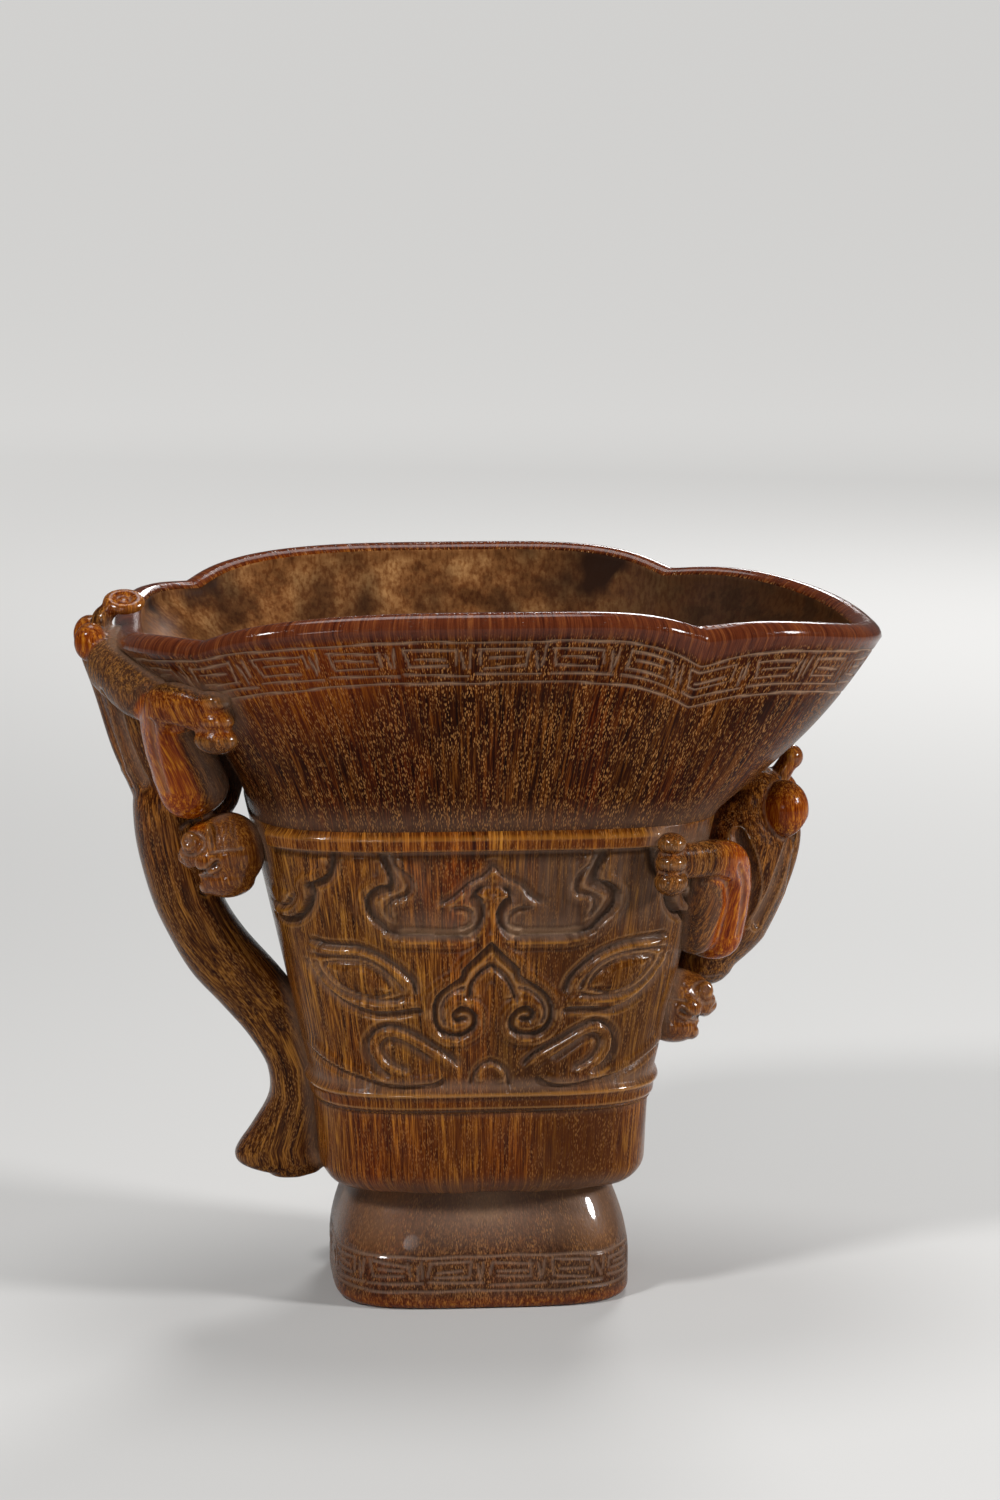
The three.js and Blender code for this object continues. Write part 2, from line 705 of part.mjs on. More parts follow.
// The head looks outward and down. Its own axes: forward, to its left, and up over the crown.
function dragonHead(dragon, grow = 0) {
  const centre = dragonPoint(dragon, FRONT, dragon.head);
  const forward = new THREE.Vector3(dragon.end * 0.7, -0.35, -0.62).normalize();
  const left = new THREE.Vector3(0, 0, 1).cross(forward).normalize();
  const up = new THREE.Vector3().crossVectors(forward, left);
  const turn = new THREE.Matrix4().makeBasis(forward, left, up);
  const at = (f, l, u) =>
    centre
      .clone()
      .addScaledVector(forward, f * SKULL_RADIUS)
      .addScaledVector(left, l * SKULL_RADIUS)
      .addScaledVector(up, u * SKULL_RADIUS);
  const lump = (place, shares, sides) => {
    const radii = new THREE.Vector3(...shares).multiplyScalar(SKULL_RADIUS).addScalar(grow);
    return ball(at(...place), radii, turn, sides);
  };
  const skull = lump([0, 0, 0], [1, 0.95, 0.92]);
  const snout = lump([0.7, 0, -0.2], [0.55, 0.62, 0.42]);
  const jaw = lump([0.5, 0, -0.62], [0.5, 0.55, 0.28]);
  const eyes = [-1, 1].map((side) => lump([0.62, 0.44 * side, 0.5], [0.3, 0.26, 0.26], SMALL_BALL_SIDES));
  const ears = [-1, 1].map((side) => lump([-0.35, 0.85 * side, 0.5], [0.2, 0.2, 0.42], SMALL_BALL_SIDES));
  const head = joined([skull, snout, jaw, ...eyes, ...ears]);
  if (grow > 0) return head;
  const mouth = lump([1.05, 0, -0.46], [0.55, 0.75, 0.07]);
  return head.subtract(mouth);
}

// The handle: level sections from the spur up to the dragon's belly

// Each station: its height, how far its outer and inner edges lie from the wall, and its half width.
function handleStations() {
  const belt = (share) => LEVEL.belt + share * BELT_HEIGHT;
  const frieze = (share) => LEVEL.frieze + share * FRIEZE_HEIGHT;
  const spur = (share) => lerp(HANDLE_WAIST, SPUR_REACH, share);
  const bow = (share) => lerp(HANDLE_WAIST, HANDLE_BOW, share);
  const width = (share) => lerp(HANDLE_FOOT_HALF_WIDTH, HANDLE_TOP_HALF_WIDTH, share);
  const rooted = -HANDLE_ROOT;
  const open = (share) => share * HANDLE_GAP;
  return [
    { height: belt(0) - SPUR_DROP, outer: 0.85 * SPUR_REACH, inner: 0.45 * SPUR_REACH, half: 0.8 * width(0) },
    { height: belt(0.1), outer: spur(1), inner: rooted, half: width(0) },
    { height: belt(0.5), outer: spur(0.48), inner: rooted, half: width(0) },
    { height: belt(0.85), outer: spur(0), inner: rooted, half: width(0) },
    { height: frieze(0), outer: bow(0), inner: rooted, half: width(0) },
    { height: frieze(0.13), outer: bow(0.16), inner: rooted, half: width(0) },
    { height: frieze(0.26), outer: bow(0.42), inner: rooted, half: width(0.3) },
    { height: frieze(0.39), outer: bow(0.7), inner: open(0.15), half: width(0.6) },
    { height: frieze(0.55), outer: bow(0.88), inner: open(0.68), half: width(1) },
    { height: frieze(0.7), outer: bow(0.98), inner: open(0.95), half: width(1) },
    { height: frieze(0.91), outer: bow(1), inner: open(1), half: width(1) },
    { height: LEVEL.bowl, outer: bow(0.92), inner: open(1), half: width(1) },
    { height: LEVEL.bowl + UPPER_FILLET_HEIGHT, outer: bow(0.84), inner: open(0.9), half: width(0.57) },
  ];
}

function handle(grow = 0) {
  const sides = 2 * LIMB_SIDES;
  const rings = handleStations().map(({ height, outer, inner, half }) => {
    const wall = wallRadius(Math.PI, height);
    const middle = wall + (outer + inner) / 2;
    const halfDepth = (outer - inner) / 2 + grow;
    return Array.from({ length: sides }, (_, j) => {
      const turn = (j * 2 * Math.PI) / sides;
      const radius = superellipse(turn, halfDepth, half + grow, HANDLE_SQUARENESS);
      return new THREE.Vector3(radius * Math.cos(turn) - middle, radius * Math.sin(turn), height);
    });
  });
  return loft(rings);
}

// Assembly

const cup = new THREE.Group();
cup.name = "libation_cup";

function place(name, geometry, look) {
  const mesh = new THREE.Mesh(geometry, new THREE.MeshStandardMaterial(look));
  mesh.name = name;
  cup.add(mesh);
}

function cutBy(solid, clearances) {
  return mainBody(clearances.reduce((left, clearance) => left.subtract(clearance), solid));
}

function placeDragon(name, dragon) {
  const body = dragonBody(dragon, SEAT_GAP);
  const frontArm = dragonArm(dragon, FRONT, SEAT_GAP);
  const placeSeated = (part, solid, look, ...clearances) =>
    place(`${name}_dragon_${part}`, toGeometry(cutBy(solid, [seatBlock, ...clearances])), look);
  placeSeated("body", dragonBody(dragon), HORN);
  placeSeated("tail", dragonTail(dragon), AMBER_HORN, body);
  placeSeated("front_arm", dragonArm(dragon, FRONT), AMBER_HORN, body);
  placeSeated("back_arm", dragonArm(dragon, BACK), AMBER_HORN, body);
  placeSeated("head", dragonHead(dragon), HORN, body, frontArm);
}

const handleClearances = [
  seatBlock,
  dragonBody(DRAGONS.handle, SEAT_GAP),
  dragonHead(DRAGONS.handle, SEAT_GAP),
  dragonArm(DRAGONS.handle, FRONT, SEAT_GAP),
  dragonArm(DRAGONS.handle, BACK, SEAT_GAP),
];

place("foot", toGeometry(foot()), DARK_HORN);
place("vessel", toGeometry(vessel()), HORN);
place("handle", toGeometry(cutBy(handle(), handleClearances)), HORN);
place("lower_fillet", toGeometry(lowerFillet(handle(SEAT_GAP))), HORN);
const frontFillet = toGeometry(upperFillet());
place("front_upper_fillet", frontFillet, AMBER_HORN);
place("back_upper_fillet", mirrored(frontFillet, "y"), AMBER_HORN);
for (const [part, geometry] of Object.entries(maskParts())) {
  place(`front_mask_${part}`, geometry, HORN);
  place(`back_mask_${part}`, mirrored(geometry, "y"), HORN);
}
for (const [name, dragon] of Object.entries(DRAGONS)) placeDragon(name, dragon);

export default cup;
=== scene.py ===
# A carved horn libation cup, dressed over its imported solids.
# Sizes are in millimetres until a mesh is written, and the mesh itself is in metres.
# The spout points along +X, the handle along -X and the front mask along -Y.
import math

import bpy
import numpy as np
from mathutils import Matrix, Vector
from mathutils.bvhtree import BVHTree
from mathutils.kdtree import KDTree


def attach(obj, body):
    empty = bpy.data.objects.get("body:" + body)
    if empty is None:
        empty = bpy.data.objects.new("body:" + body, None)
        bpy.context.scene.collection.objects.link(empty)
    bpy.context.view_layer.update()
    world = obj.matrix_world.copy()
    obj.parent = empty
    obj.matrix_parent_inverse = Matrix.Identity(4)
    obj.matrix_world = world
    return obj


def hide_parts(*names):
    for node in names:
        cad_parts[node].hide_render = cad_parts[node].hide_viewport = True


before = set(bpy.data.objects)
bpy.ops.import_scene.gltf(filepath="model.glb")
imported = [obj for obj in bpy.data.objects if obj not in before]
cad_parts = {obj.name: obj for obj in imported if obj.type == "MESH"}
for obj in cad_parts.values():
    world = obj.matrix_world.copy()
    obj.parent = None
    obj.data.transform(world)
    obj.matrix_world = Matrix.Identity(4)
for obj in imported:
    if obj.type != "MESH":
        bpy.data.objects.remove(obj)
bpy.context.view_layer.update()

MM = 0.001
FRONT, BACK = -1, 1
SPOUT, HANDLE = 1, -1

# Storeys of the cup, from the standing surface upwards
FOOT_TOP = 21.5
LOWER_FILLET = 38.0
FRIEZE = 41.3
UPPER_FILLET = 87.0
BOWL = 90.4
RIM_AT_SIDES = 131.5
RIM_AT_ENDS = 123.4
CUP_FLOOR = 47.5
FRIEZE_HEIGHT = UPPER_FILLET - FRIEZE
BOWL_AT_ENDS = RIM_AT_ENDS - BOWL

# Plan sizes of the wall
FOOT_PLAN = (27.2, 24.0)
BELT_PLAN = (29.6, 26.4)
FRIEZE_PLAN = (31.0, 28.0)
COLLAR_PLAN = (42.2, 34.8)
SPOUT_LENGTH = 73.5
HANDLE_END_LENGTH = 66.0
RIM_HALF_WIDTH = 52.0
LIP_THICKNESS = 5.5
BELT_ROUND = 4.5
FOOT_NECK_INSET = 4.2
FOOT_RIM_WIDTH = 6.5
FOOT_RECESS = 5.0
FOOT_EDGE = 1.6
PLAN_SQUARENESS = 4.0
SPOUT_SQUARENESS = 2.5
INSIDE_SQUARENESS = 2.6

# The rim's four notches: angles from the nearer end, and sizes
SPOUT_NOTCH_FRONT = 50.5
SPOUT_NOTCH_BACK = 45.5
HANDLE_NOTCH = 38.0
NOTCH_BREADTH = 8.0
NOTCH_DEPTH = 3.2
NOTCH_DROP = 2.5


def blend(low, high, share):
    return low + (high - low) * share


def smooth_step(low, high, value):
    share = np.clip((value - low) / (high - low), 0.0, 1.0)
    return share * share * (3.0 - 2.0 * share)


# The wall as a function of the angle round the cup and the height

def superellipse(angle, half_length, half_width, squareness):
    along = np.abs(np.cos(angle)) / half_length
    across = np.abs(np.sin(angle)) / half_width
    return (along ** squareness + across ** squareness) ** (-1.0 / squareness)


def notch_at(angle):
    """One in the rim's notches, falling to zero beside them."""
    from_end = np.arccos(np.clip(np.abs(np.cos(angle)), 0.0, 1.0))
    spout_notch = np.where(np.sin(angle) < 0, SPOUT_NOTCH_FRONT, SPOUT_NOTCH_BACK)
    notch = np.radians(np.where(np.cos(angle) > 0, spout_notch, HANDLE_NOTCH))
    return np.exp(-(np.abs(from_end - notch) / math.radians(NOTCH_BREADTH)) ** 1.3)


def rim_radius(angle):
    spout_side = superellipse(angle, SPOUT_LENGTH, RIM_HALF_WIDTH, SPOUT_SQUARENESS)
    handle_side = superellipse(angle, HANDLE_END_LENGTH, RIM_HALF_WIDTH, PLAN_SQUARENESS)
    return np.where(np.cos(angle) > 0, spout_side, handle_side) - NOTCH_DEPTH * notch_at(angle)


def rim_height(angle):
    return blend(RIM_AT_SIDES, RIM_AT_ENDS, np.cos(angle) ** 4) - NOTCH_DROP * notch_at(angle)


def lip_foot(angle):
    return rim_height(angle) - LIP_THICKNESS / 2


def bowl_radius(angle, share):
    collar = superellipse(angle, *COLLAR_PLAN, PLAN_SQUARENESS)
    side_lean = share ** 1.15
    spout_lean = blend(share, 1.0 - (1.0 - share) ** 3, 0.36)
    end_lean = np.where(np.cos(angle) > 0, spout_lean, share ** 1.5)
    lean = blend(side_lean, end_lean, np.cos(angle) ** 2)
    return blend(collar, rim_radius(angle), lean)


def wall_radius(angle, height):
    """The wall's distance from the axis, from the belt's foot to the lip."""
    angle, height = np.broadcast_arrays(np.asarray(angle, float), np.asarray(height, float))
    rounding = np.clip((height - FOOT_TOP) / BELT_ROUND, 0.0, 1.0)
    inset = BELT_ROUND * (1.0 - np.sqrt(1.0 - (1.0 - rounding) ** 2))
    low_share = (height - FOOT_TOP) / (FRIEZE - FOOT_TOP)
    high_share = (height - FRIEZE) / (BOWL - FRIEZE)
    is_low = height <= FRIEZE
    plan = [
        np.where(is_low, blend(belt, frieze, low_share) - inset, blend(frieze, collar, high_share))
        for belt, frieze, collar in zip(BELT_PLAN, FRIEZE_PLAN, COLLAR_PLAN)
    ]
    share = np.clip((height - BOWL) / (lip_foot(angle) - BOWL), 0.0, 1.0)
    return np.where(height >= BOWL, bowl_radius(angle, share), superellipse(angle, *plan, PLAN_SQUARENESS))


def polar(angle, radius, height):
    angle, radius, height = np.broadcast_arrays(angle, radius, height)
    return np.stack([radius * np.cos(angle), radius * np.sin(angle), height], axis=-1)


def around(end, side, degrees, height, standoff):
    """A point off the wall, by its angle from one end towards one side."""
    turn = math.radians(degrees)
    angle = math.atan2(side * math.sin(turn), end * math.cos(turn))
    return polar(angle, wall_radius(angle, height) + standoff, height)


# Sheets of quads that are rolled into the cup's walls, and the bookkeeping of their points

def deselect():
    if bpy.context.object and bpy.context.object.mode != "OBJECT":
        bpy.ops.object.mode_set(mode="OBJECT")
    bpy.ops.object.select_all(action="DESELECT")


def points_of(piece):
    flat = np.empty(len(piece.data.vertices) * 3)
    piece.data.vertices.foreach_get("co", flat)
    return flat.reshape(-1, 3) / MM


def normals_of(piece):
    flat = np.empty(len(piece.data.vertices) * 3, np.float32)
    piece.data.vertex_normals.foreach_get("vector", flat)
    return flat.reshape(-1, 3).astype(float)


def move_points(piece, points):
    piece.data.vertices.foreach_set("co", (np.asarray(points) * MM).ravel())
    piece.data.update()


def paint(piece, name, values):
    layer = piece.data.attributes.get(name) or piece.data.attributes.new(name, "FLOAT", "POINT")
    layer.data.foreach_set("value", np.clip(values, 0.0, 1.0).astype(np.float32))


def run_fibres(piece, places):
    """Places in the grain, whose fibres run along the third coordinate."""
    layer = piece.data.attributes.new("grain", "FLOAT_VECTOR", "POINT")
    layer.data.foreach_set("vector", (np.asarray(places) * MM).astype(np.float32).ravel())


def painted(piece, name):
    values = np.empty(len(piece.data.vertices), np.float32)
    piece.data.attributes[name].data.foreach_get("value", values)
    return values.astype(float)


def merge_and_face_out(piece):
    deselect()
    piece.select_set(True)
    bpy.context.view_layer.objects.active = piece
    bpy.ops.object.mode_set(mode="EDIT")
    bpy.ops.mesh.select_all(action="SELECT")
    bpy.ops.mesh.remove_doubles(threshold=0.002 * MM)
    bpy.ops.mesh.normals_make_consistent(inside=False)
    bpy.ops.object.mode_set(mode="OBJECT")
    bpy.ops.object.shade_smooth()


def rolled_sheet(name, grid, travel=None, **layers):
    """A sheet of quads laid over a grid of points, its touching edges merged, with painted layers.

    Where the travel round the wall is given, the fibres run up the wall.
    """
    rows, columns = grid.shape[0] - 1, grid.shape[1] - 1
    deselect()
    bpy.ops.mesh.primitive_grid_add(x_subdivisions=columns, y_subdivisions=rows, size=1.0)
    piece = bpy.context.object
    piece.name = piece.data.name = name
    flat = points_of(piece)
    order = np.lexsort((flat[:, 0].round(3), flat[:, 1].round(3)))
    placed = np.empty_like(flat)
    placed[order] = grid.reshape(-1, 3)
    move_points(piece, placed)
    for layer, values in layers.items():
        sorted_values = np.empty(len(flat))
        sorted_values[order] = np.broadcast_to(values, grid.shape[:2]).ravel()
        paint(piece, layer, sorted_values)
    if travel is not None:
        round_wall = np.broadcast_to(travel, grid.shape[:2])
        fibres = np.empty_like(flat)
        fibres[order] = np.stack([round_wall, 0 * round_wall, grid[..., 2]], axis=-1).reshape(-1, 3)
        run_fibres(piece, fibres)
    merge_and_face_out(piece)
    return piece


def even_angles(count, radius, height, weight=None):
    """Angles from one handle end round to itself, evenly spaced along a line on the wall."""
    fine = np.linspace(-math.pi, math.pi, 20001)
    line = polar(fine, radius(fine), height(fine))
    step = np.linalg.norm(np.diff(line, axis=0), axis=1)
    length = np.concatenate([[0.0], np.cumsum(step)])
    if weight is None:
        spent = length
    else:
        middle = (fine[:-1] + fine[1:]) / 2
        spent = np.concatenate([[0.0], np.cumsum(step * weight(middle))])
    angles = np.interp(np.linspace(0.0, spent[-1], count + 1), spent, fine)
    return angles, np.interp(angles, fine, length)


def grid_normals(grid):
    """Outward directions of a sheet whose first and last columns coincide."""
    ring = grid[:, :-1]
    along = np.roll(ring, -1, axis=1) - np.roll(ring, 1, axis=1)
    up = np.gradient(ring, axis=0)
    normal = np.cross(along, up)
    normal /= np.maximum(np.linalg.norm(normal, axis=-1, keepdims=True), 1e-9)
    return np.concatenate([normal, normal[:, :1]], axis=1)


def bend_of(piece, rounds=2):
    """How sharply the skin bends at each point, per millimetre: positive on ridges, negative in hollows."""
    points, normals = points_of(piece), normals_of(piece)
    pairs = np.empty(len(piece.data.edges) * 2, np.int64)
    piece.data.edges.foreach_get("vertices", pairs)
    start, stop = pairs[0::2], pairs[1::2]
    count = np.maximum(np.bincount(pairs, minlength=len(points)), 1)

    def summed(at_start, at_stop):
        return np.bincount(start, at_start, len(points)) + np.bincount(stop, at_stop, len(points))

    def neighbours(values):
        return summed(values[stop], values[start]) / count

    square = np.sum((points[stop] - points[start]) ** 2, axis=1)
    spread = summed(square, square)
    middle = np.column_stack([neighbours(points[:, axis]) for axis in range(3)])
    bend = 2.0 * np.sum((points - middle) * normals, axis=1) / np.maximum(spread / count, 1e-6)
    for _ in range(rounds):
        bend = (bend + neighbours(bend)) / 2
    return bend


def handle_and_settle(piece):
    """Ridges are polished by hands, with a painted highlight, and dust settles in the hollows between them.
    """
    bend = bend_of(piece)
    paint(piece, "polish", np.maximum(painted(piece, "polish"), smooth_step(0.20, 0.75, bend)))
    paint(piece, "dust", np.maximum(painted(piece, "dust"), 0.62 * smooth_step(-0.18, -0.75, bend)))


# Strokes of the graver

def curve_through(points, steps=6):
    """A smooth line through points, in two or three dimensions."""
    given = np.asarray(points, float)
    padded = np.concatenate([[2 * given[0] - given[1]], given, [2 * given[-1] - given[-2]]])
    line = []
    for i in range(1, len(padded) - 2):
        before, start, stop, after = padded[i - 1], padded[i], padded[i + 1], padded[i + 2]
        for share in np.linspace(0.0, 1.0, steps, endpoint=False):
            pull = 0.5 * (
                2 * start
                + (stop - before) * share
                + (2 * before - 5 * start + 4 * stop - after) * share ** 2
                + (3 * start - before - 3 * stop + after) * share ** 3
            )
            line.append(pull)
    line.append(given[-1])
    return np.array(line)


def distance_to(points, line):
    """Distance from a line, the side of it (left is positive) and the share of the way along it."""
    best = np.full(len(points), np.inf)
    side = np.ones(len(points))
    place = np.zeros(len(points))
    lengths = np.linalg.norm(np.diff(line, axis=0), axis=1)
    total = max(lengths.sum(), 1e-9)
    travelled = 0.0
    for start, stop, length in zip(line[:-1], line[1:], lengths):
        if length < 1e-9:
            continue
        along = (stop - start) / length
        offset = points - start
        reach = np.clip(offset @ along, 0.0, length)
        gap = offset - reach[:, None] * along
        distance = np.linalg.norm(gap, axis=1)
        nearer = distance < best
        best[nearer] = distance[nearer]
        place[nearer] = (travelled + reach[nearer]) / total
        if points.shape[1] == 2:
            cross = along[0] * offset[:, 1] - along[1] * offset[:, 0]
            side[nearer] = np.sign(cross[nearer])
        travelled += length
    return best, side, place


def slant_cut(points, line, depth, slope, steep=0.28, slope_side=1, fade=0.06):
    """A cut with a steep wall on one side and a long slope on the other, fading out at its two ends."""
    cut = np.zeros(len(points))
    reach = max(slope, steep)
    low, high = line.min(axis=0) - reach, line.max(axis=0) + reach
    near = np.all((points > low) & (points < high), axis=1)
    if not near.any():
        return cut
    distance, side, place = distance_to(points[near], line)
    width = np.where(side * slope_side > 0, slope, steep)
    ends = np.clip(np.minimum(place, 1.0 - place) / fade, 0.0, 1.0) if fade else 1.0
    cut[near] = depth * np.clip(1.0 - distance / width, 0.0, 1.0) ** 1.2 * ends
    return cut


def raised_edge(points, line, lift, width, slope_side=1):
    """A low ribbon that stands along the steep side of a cut and sinks away from it."""
    rise = np.zeros(len(points))
    low, high = line.min(axis=0) - width, line.max(axis=0) + width
    near = np.all((points > low) & (points < high), axis=1)
    if not near.any():
        return rise
    distance, side, place = distance_to(points[near], line)
    ends = np.clip((1.0 - place) / 0.08, 0.0, 1.0)
    if line[0][0] > 0.0:
        ends = ends * np.clip(place / 0.08, 0.0, 1.0)
    across = np.where(side * slope_side > 0, 0.0, 1.0 - smooth_step(0.5 * width, width, distance))
    rise[near] = lift * across * ends
    return rise


# The fret: hooked key units between engraved lines.
# A unit's strokes run in shares of its pitch and of the band.
KEY_UNIT = [
    ((0.06, 0.16), (0.10, 0.58)),
    ((0.06, 0.18), (0.72, 0.20)),
    ((0.72, 0.19), (0.74, 0.53)),
    ((0.18, 0.385), (0.62, 0.40)),
    ((0.10, 0.585), (0.66, 0.59)),
    ((0.83, 0.25), (0.86, 0.67)),
    ((0.925, 0.15), (0.91, 0.58)),
    ((0.02, 0.78), (0.93, 0.79)),
]


def fret_cut(travel, down, pitch, band_height, half_width, depth, seed):
    """Depth of the fret at points given by their travel round the wall and their share down the band."""
    count = int(round(travel.max() / pitch))
    pitch = travel.max() / count
    unit = np.minimum((travel / pitch).astype(int), count - 1)
    inside = travel - unit * pitch
    height = down * band_height
    shaky = np.random.default_rng(seed)
    flips = shaky.random(count) < 0.35
    cut = np.zeros_like(travel)
    for start, stop in KEY_UNIT:
        ends = []
        for along, fall in (start, stop):
            shift = shaky.normal(0.0, 0.22, (count, 2))
            hooked = along < 0.8 and fall < 0.7
            across = np.where(flips & hooked, 0.78 - along, along)
            ends.append((across * pitch + shift[:, 0], fall * band_height + shift[:, 1]))
        (x0, y0), (x1, y1) = ends
        run_x, run_y = (x1 - x0)[unit], (y1 - y0)[unit]
        off_x, off_y = inside - x0[unit], height - y0[unit]
        share = np.clip((off_x * run_x + off_y * run_y) / (run_x ** 2 + run_y ** 2), 0.0, 1.0)
        distance = np.hypot(off_x - share * run_x, off_y - share * run_y)
        press = 0.75 + 0.25 * np.sin(math.pi * share)
        cut = np.maximum(cut, press * np.clip(1.0 - (distance / half_width) ** 2, 0.0, 1.0))
    for level, phase in ((0.0, 0.4), (1.0, 2.1)):
        waver = 0.12 * np.sin(travel * 0.21 + phase) + 0.08 * np.sin(travel * 0.57 + 3 * phase)
        distance = np.abs(height - level * band_height - waver)
        cut = np.maximum(cut, np.clip(1.0 - (distance / half_width) ** 2, 0.0, 1.0))
    return depth * cut


# The bowl: the whole wall above the collar, the lip, and the inside down to its floor

BAND_BELOW_RIM = 5.0
BAND_DIP_AT_SPOUT_NOTCH = 2.0
BAND_RISE_AT_HANDLE_NOTCH = 1.5
BAND_HEIGHT = 7.7
BAND_MARGIN = 0.5
BAND_PITCH = 13.0
BAND_LINE = 0.26
BAND_DEPTH = 0.22
HIDDEN_WALL = 4.0
COLLAR_WALL = 8.0

# The inside below the collar: height, and how far it lies inside the wall's plan
INSIDE_STATIONS = [(84.0, 10.5), (70.0, 10.5), (56.0, 10.5), (50.0, 12.6), (CUP_FLOOR, 17.5)]
LOWEST_INSIDE_PLAN = 54.5


def band_top(angle):
    dip = np.where(np.cos(angle) > 0, BAND_DIP_AT_SPOUT_NOTCH, -BAND_RISE_AT_HANDLE_NOTCH)
    return rim_height(angle) - BAND_BELOW_RIM - dip * notch_at(angle)


def make_bowl(columns=1264):
    middle_height = lambda a: band_top(a) - BAND_HEIGHT / 2
    angle, travel = even_angles(columns, lambda a: wall_radius(a, middle_height(a)), middle_height)
    top = band_top(angle) + BAND_MARGIN
    bottom = band_top(angle) - BAND_HEIGHT - BAND_MARGIN
    rows = [polar(angle, 0.0 * angle, FRIEZE + 1)]
    for height in (FRIEZE + 1, UPPER_FILLET - 2):
        rows.append(polar(angle, wall_radius(angle, height) - HIDDEN_WALL, height))
    outer = [blend(BOWL - 1.0, bottom, share) for share in np.linspace(0.0, 1.0, 14, endpoint=False) ** 0.9]
    outer += [blend(bottom, top, share) for share in np.linspace(0.0, 1.0, 29, endpoint=False)]
    outer += [blend(top, lip_foot(angle), share) for share in np.linspace(0.0, 1.0, 3, endpoint=False)]
    first_outer = len(rows)
    for height in outer:
        rows.append(polar(angle, wall_radius(angle, height), height))
    lip_radius = LIP_THICKNESS / 2
    for turn in np.radians(np.linspace(0.0, 180.0, 12)):
        radius = rim_radius(angle) - lip_radius + lip_radius * math.cos(turn)
        rows.append(polar(angle, radius, lip_foot(angle) + lip_radius * math.sin(turn)))
    first_inner = len(rows)
    for share in (0.9, 0.75, 0.6, 0.45, 0.3, 0.16, 0.05):
        inner = bowl_radius(angle, share) - blend(COLLAR_WALL, LIP_THICKNESS, share)
        rows.append(polar(angle, inner, blend(BOWL, lip_foot(angle), share)))
    for height, inset in INSIDE_STATIONS:
        share = (max(height, LOWEST_INSIDE_PLAN) - FRIEZE) / (BOWL - FRIEZE)
        plan = [blend(frieze, collar, share) - inset for frieze, collar in zip(FRIEZE_PLAN, COLLAR_PLAN)]
        rows.append(polar(angle, superellipse(angle, *plan, INSIDE_SQUARENESS), height))
    rows.append(polar(angle, 0.0 * angle, CUP_FLOOR))
    grid = np.array(rows)
    normal = grid_normals(grid)
    height = grid[..., 2]
    down = (band_top(angle)[None, :] - height) / BAND_HEIGHT
    row_number = np.arange(len(rows))[:, None]
    outside = (row_number >= first_outer) & (row_number < first_inner)
    in_band = outside & (down > -0.15) & (down < 1.15) & (row_number < first_outer + len(outer))
    cut = np.zeros(grid.shape[:2])
    spread = np.broadcast_to(travel, grid.shape[:2])
    fret = (BAND_PITCH, BAND_HEIGHT, BAND_LINE, BAND_DEPTH)
    cut[in_band] = fret_cut(spread[in_band], down[in_band], *fret, seed=4)
    cut[:, -1] = cut[:, 0]
    grid = grid - normal * cut[..., None]
    at_collar = outside * smooth_step(BOWL + 6.0, BOWL, height)
    dust = np.maximum(np.clip(cut / 0.16, 0.0, 1.0), 0.42 * at_collar)
    clear_patch = np.exp(-((grid[..., 0] + 34.0) / 15.0) ** 2) * smooth_step(BOWL + 12.0, BOWL + 28.0, height)
    amber = outside * (0.45 * clear_patch + 0.05 * in_band)
    hollow = 1.0 * (row_number >= first_inner - 3)
    lip = outside * smooth_step(-0.02, -0.22, down) * (1 - hollow)
    return rolled_sheet("bowl", grid, travel, dust=dust, shade=0.0, amber=amber, lip=lip, hollow=hollow)


# The frieze: a ring of wall with the mask in low relief on its front and back, between two fillets.
# Lines of the mask's right half: distance from the middle, and height.
HORN_OUTLINE = [
    (20.9, 87.5), (18.5, 81.2), (20.5, 80.3), (22.2, 78.9), (22.6, 76.7), (21.4, 74.5), (19.5, 72.6),
    (17.6, 70.9), (13.9, 70.3), (9.0, 70.3), (4.5, 70.6), (2.0, 72.3), (1.0, 75.1), (1.8, 77.7),
    (2.9, 78.6), (1.6, 80.0), (0.0, 80.3),
]
HORN_INNER = [
    (18.3, 87.5), (17.3, 84.0), (15.2, 82.2), (14.3, 80.1), (15.2, 78.2), (17.6, 77.4), (18.2, 75.9),
    (17.2, 73.6),
]
CREST = [(0.0, 84.0), (1.7, 82.0), (4.6, 80.4), (6.8, 78.1), (8.6, 77.0)]
CREST_CURL = [(7.4, 76.4), (5.0, 76.4), (3.4, 75.4), (3.0, 73.6), (4.2, 72.3), (6.0, 72.0)]
EYE_TOP = [(13.6, 59.6), (14.3, 62.3), (16.8, 64.9), (20.2, 67.2), (24.2, 68.7), (28.8, 69.0), (32.4, 69.6)]
EYE_BOTTOM = [
    (12.0, 56.4), (13.6, 57.2), (17.0, 56.9), (21.2, 56.8), (25.1, 58.2), (28.4, 60.8), (30.9, 63.9),
    (32.4, 66.4),
]
EYE_INNER_TOP = [(15.4, 60.4), (17.4, 63.2), (20.4, 65.8), (24.0, 67.2), (28.3, 67.5), (31.4, 67.4)]
EYE_INNER_BOTTOM = [
    (15.4, 59.6), (17.0, 58.8), (20.6, 58.6), (24.4, 59.4), (27.6, 61.2), (30.0, 63.9), (31.4, 66.4),
]
PUPIL = [
    (17.3, 60.6), (19.4, 63.5), (22.8, 65.6), (27.0, 66.1), (29.2, 65.4), (27.4, 62.8), (24.6, 60.7),
    (20.8, 59.7), (17.3, 60.6),
]
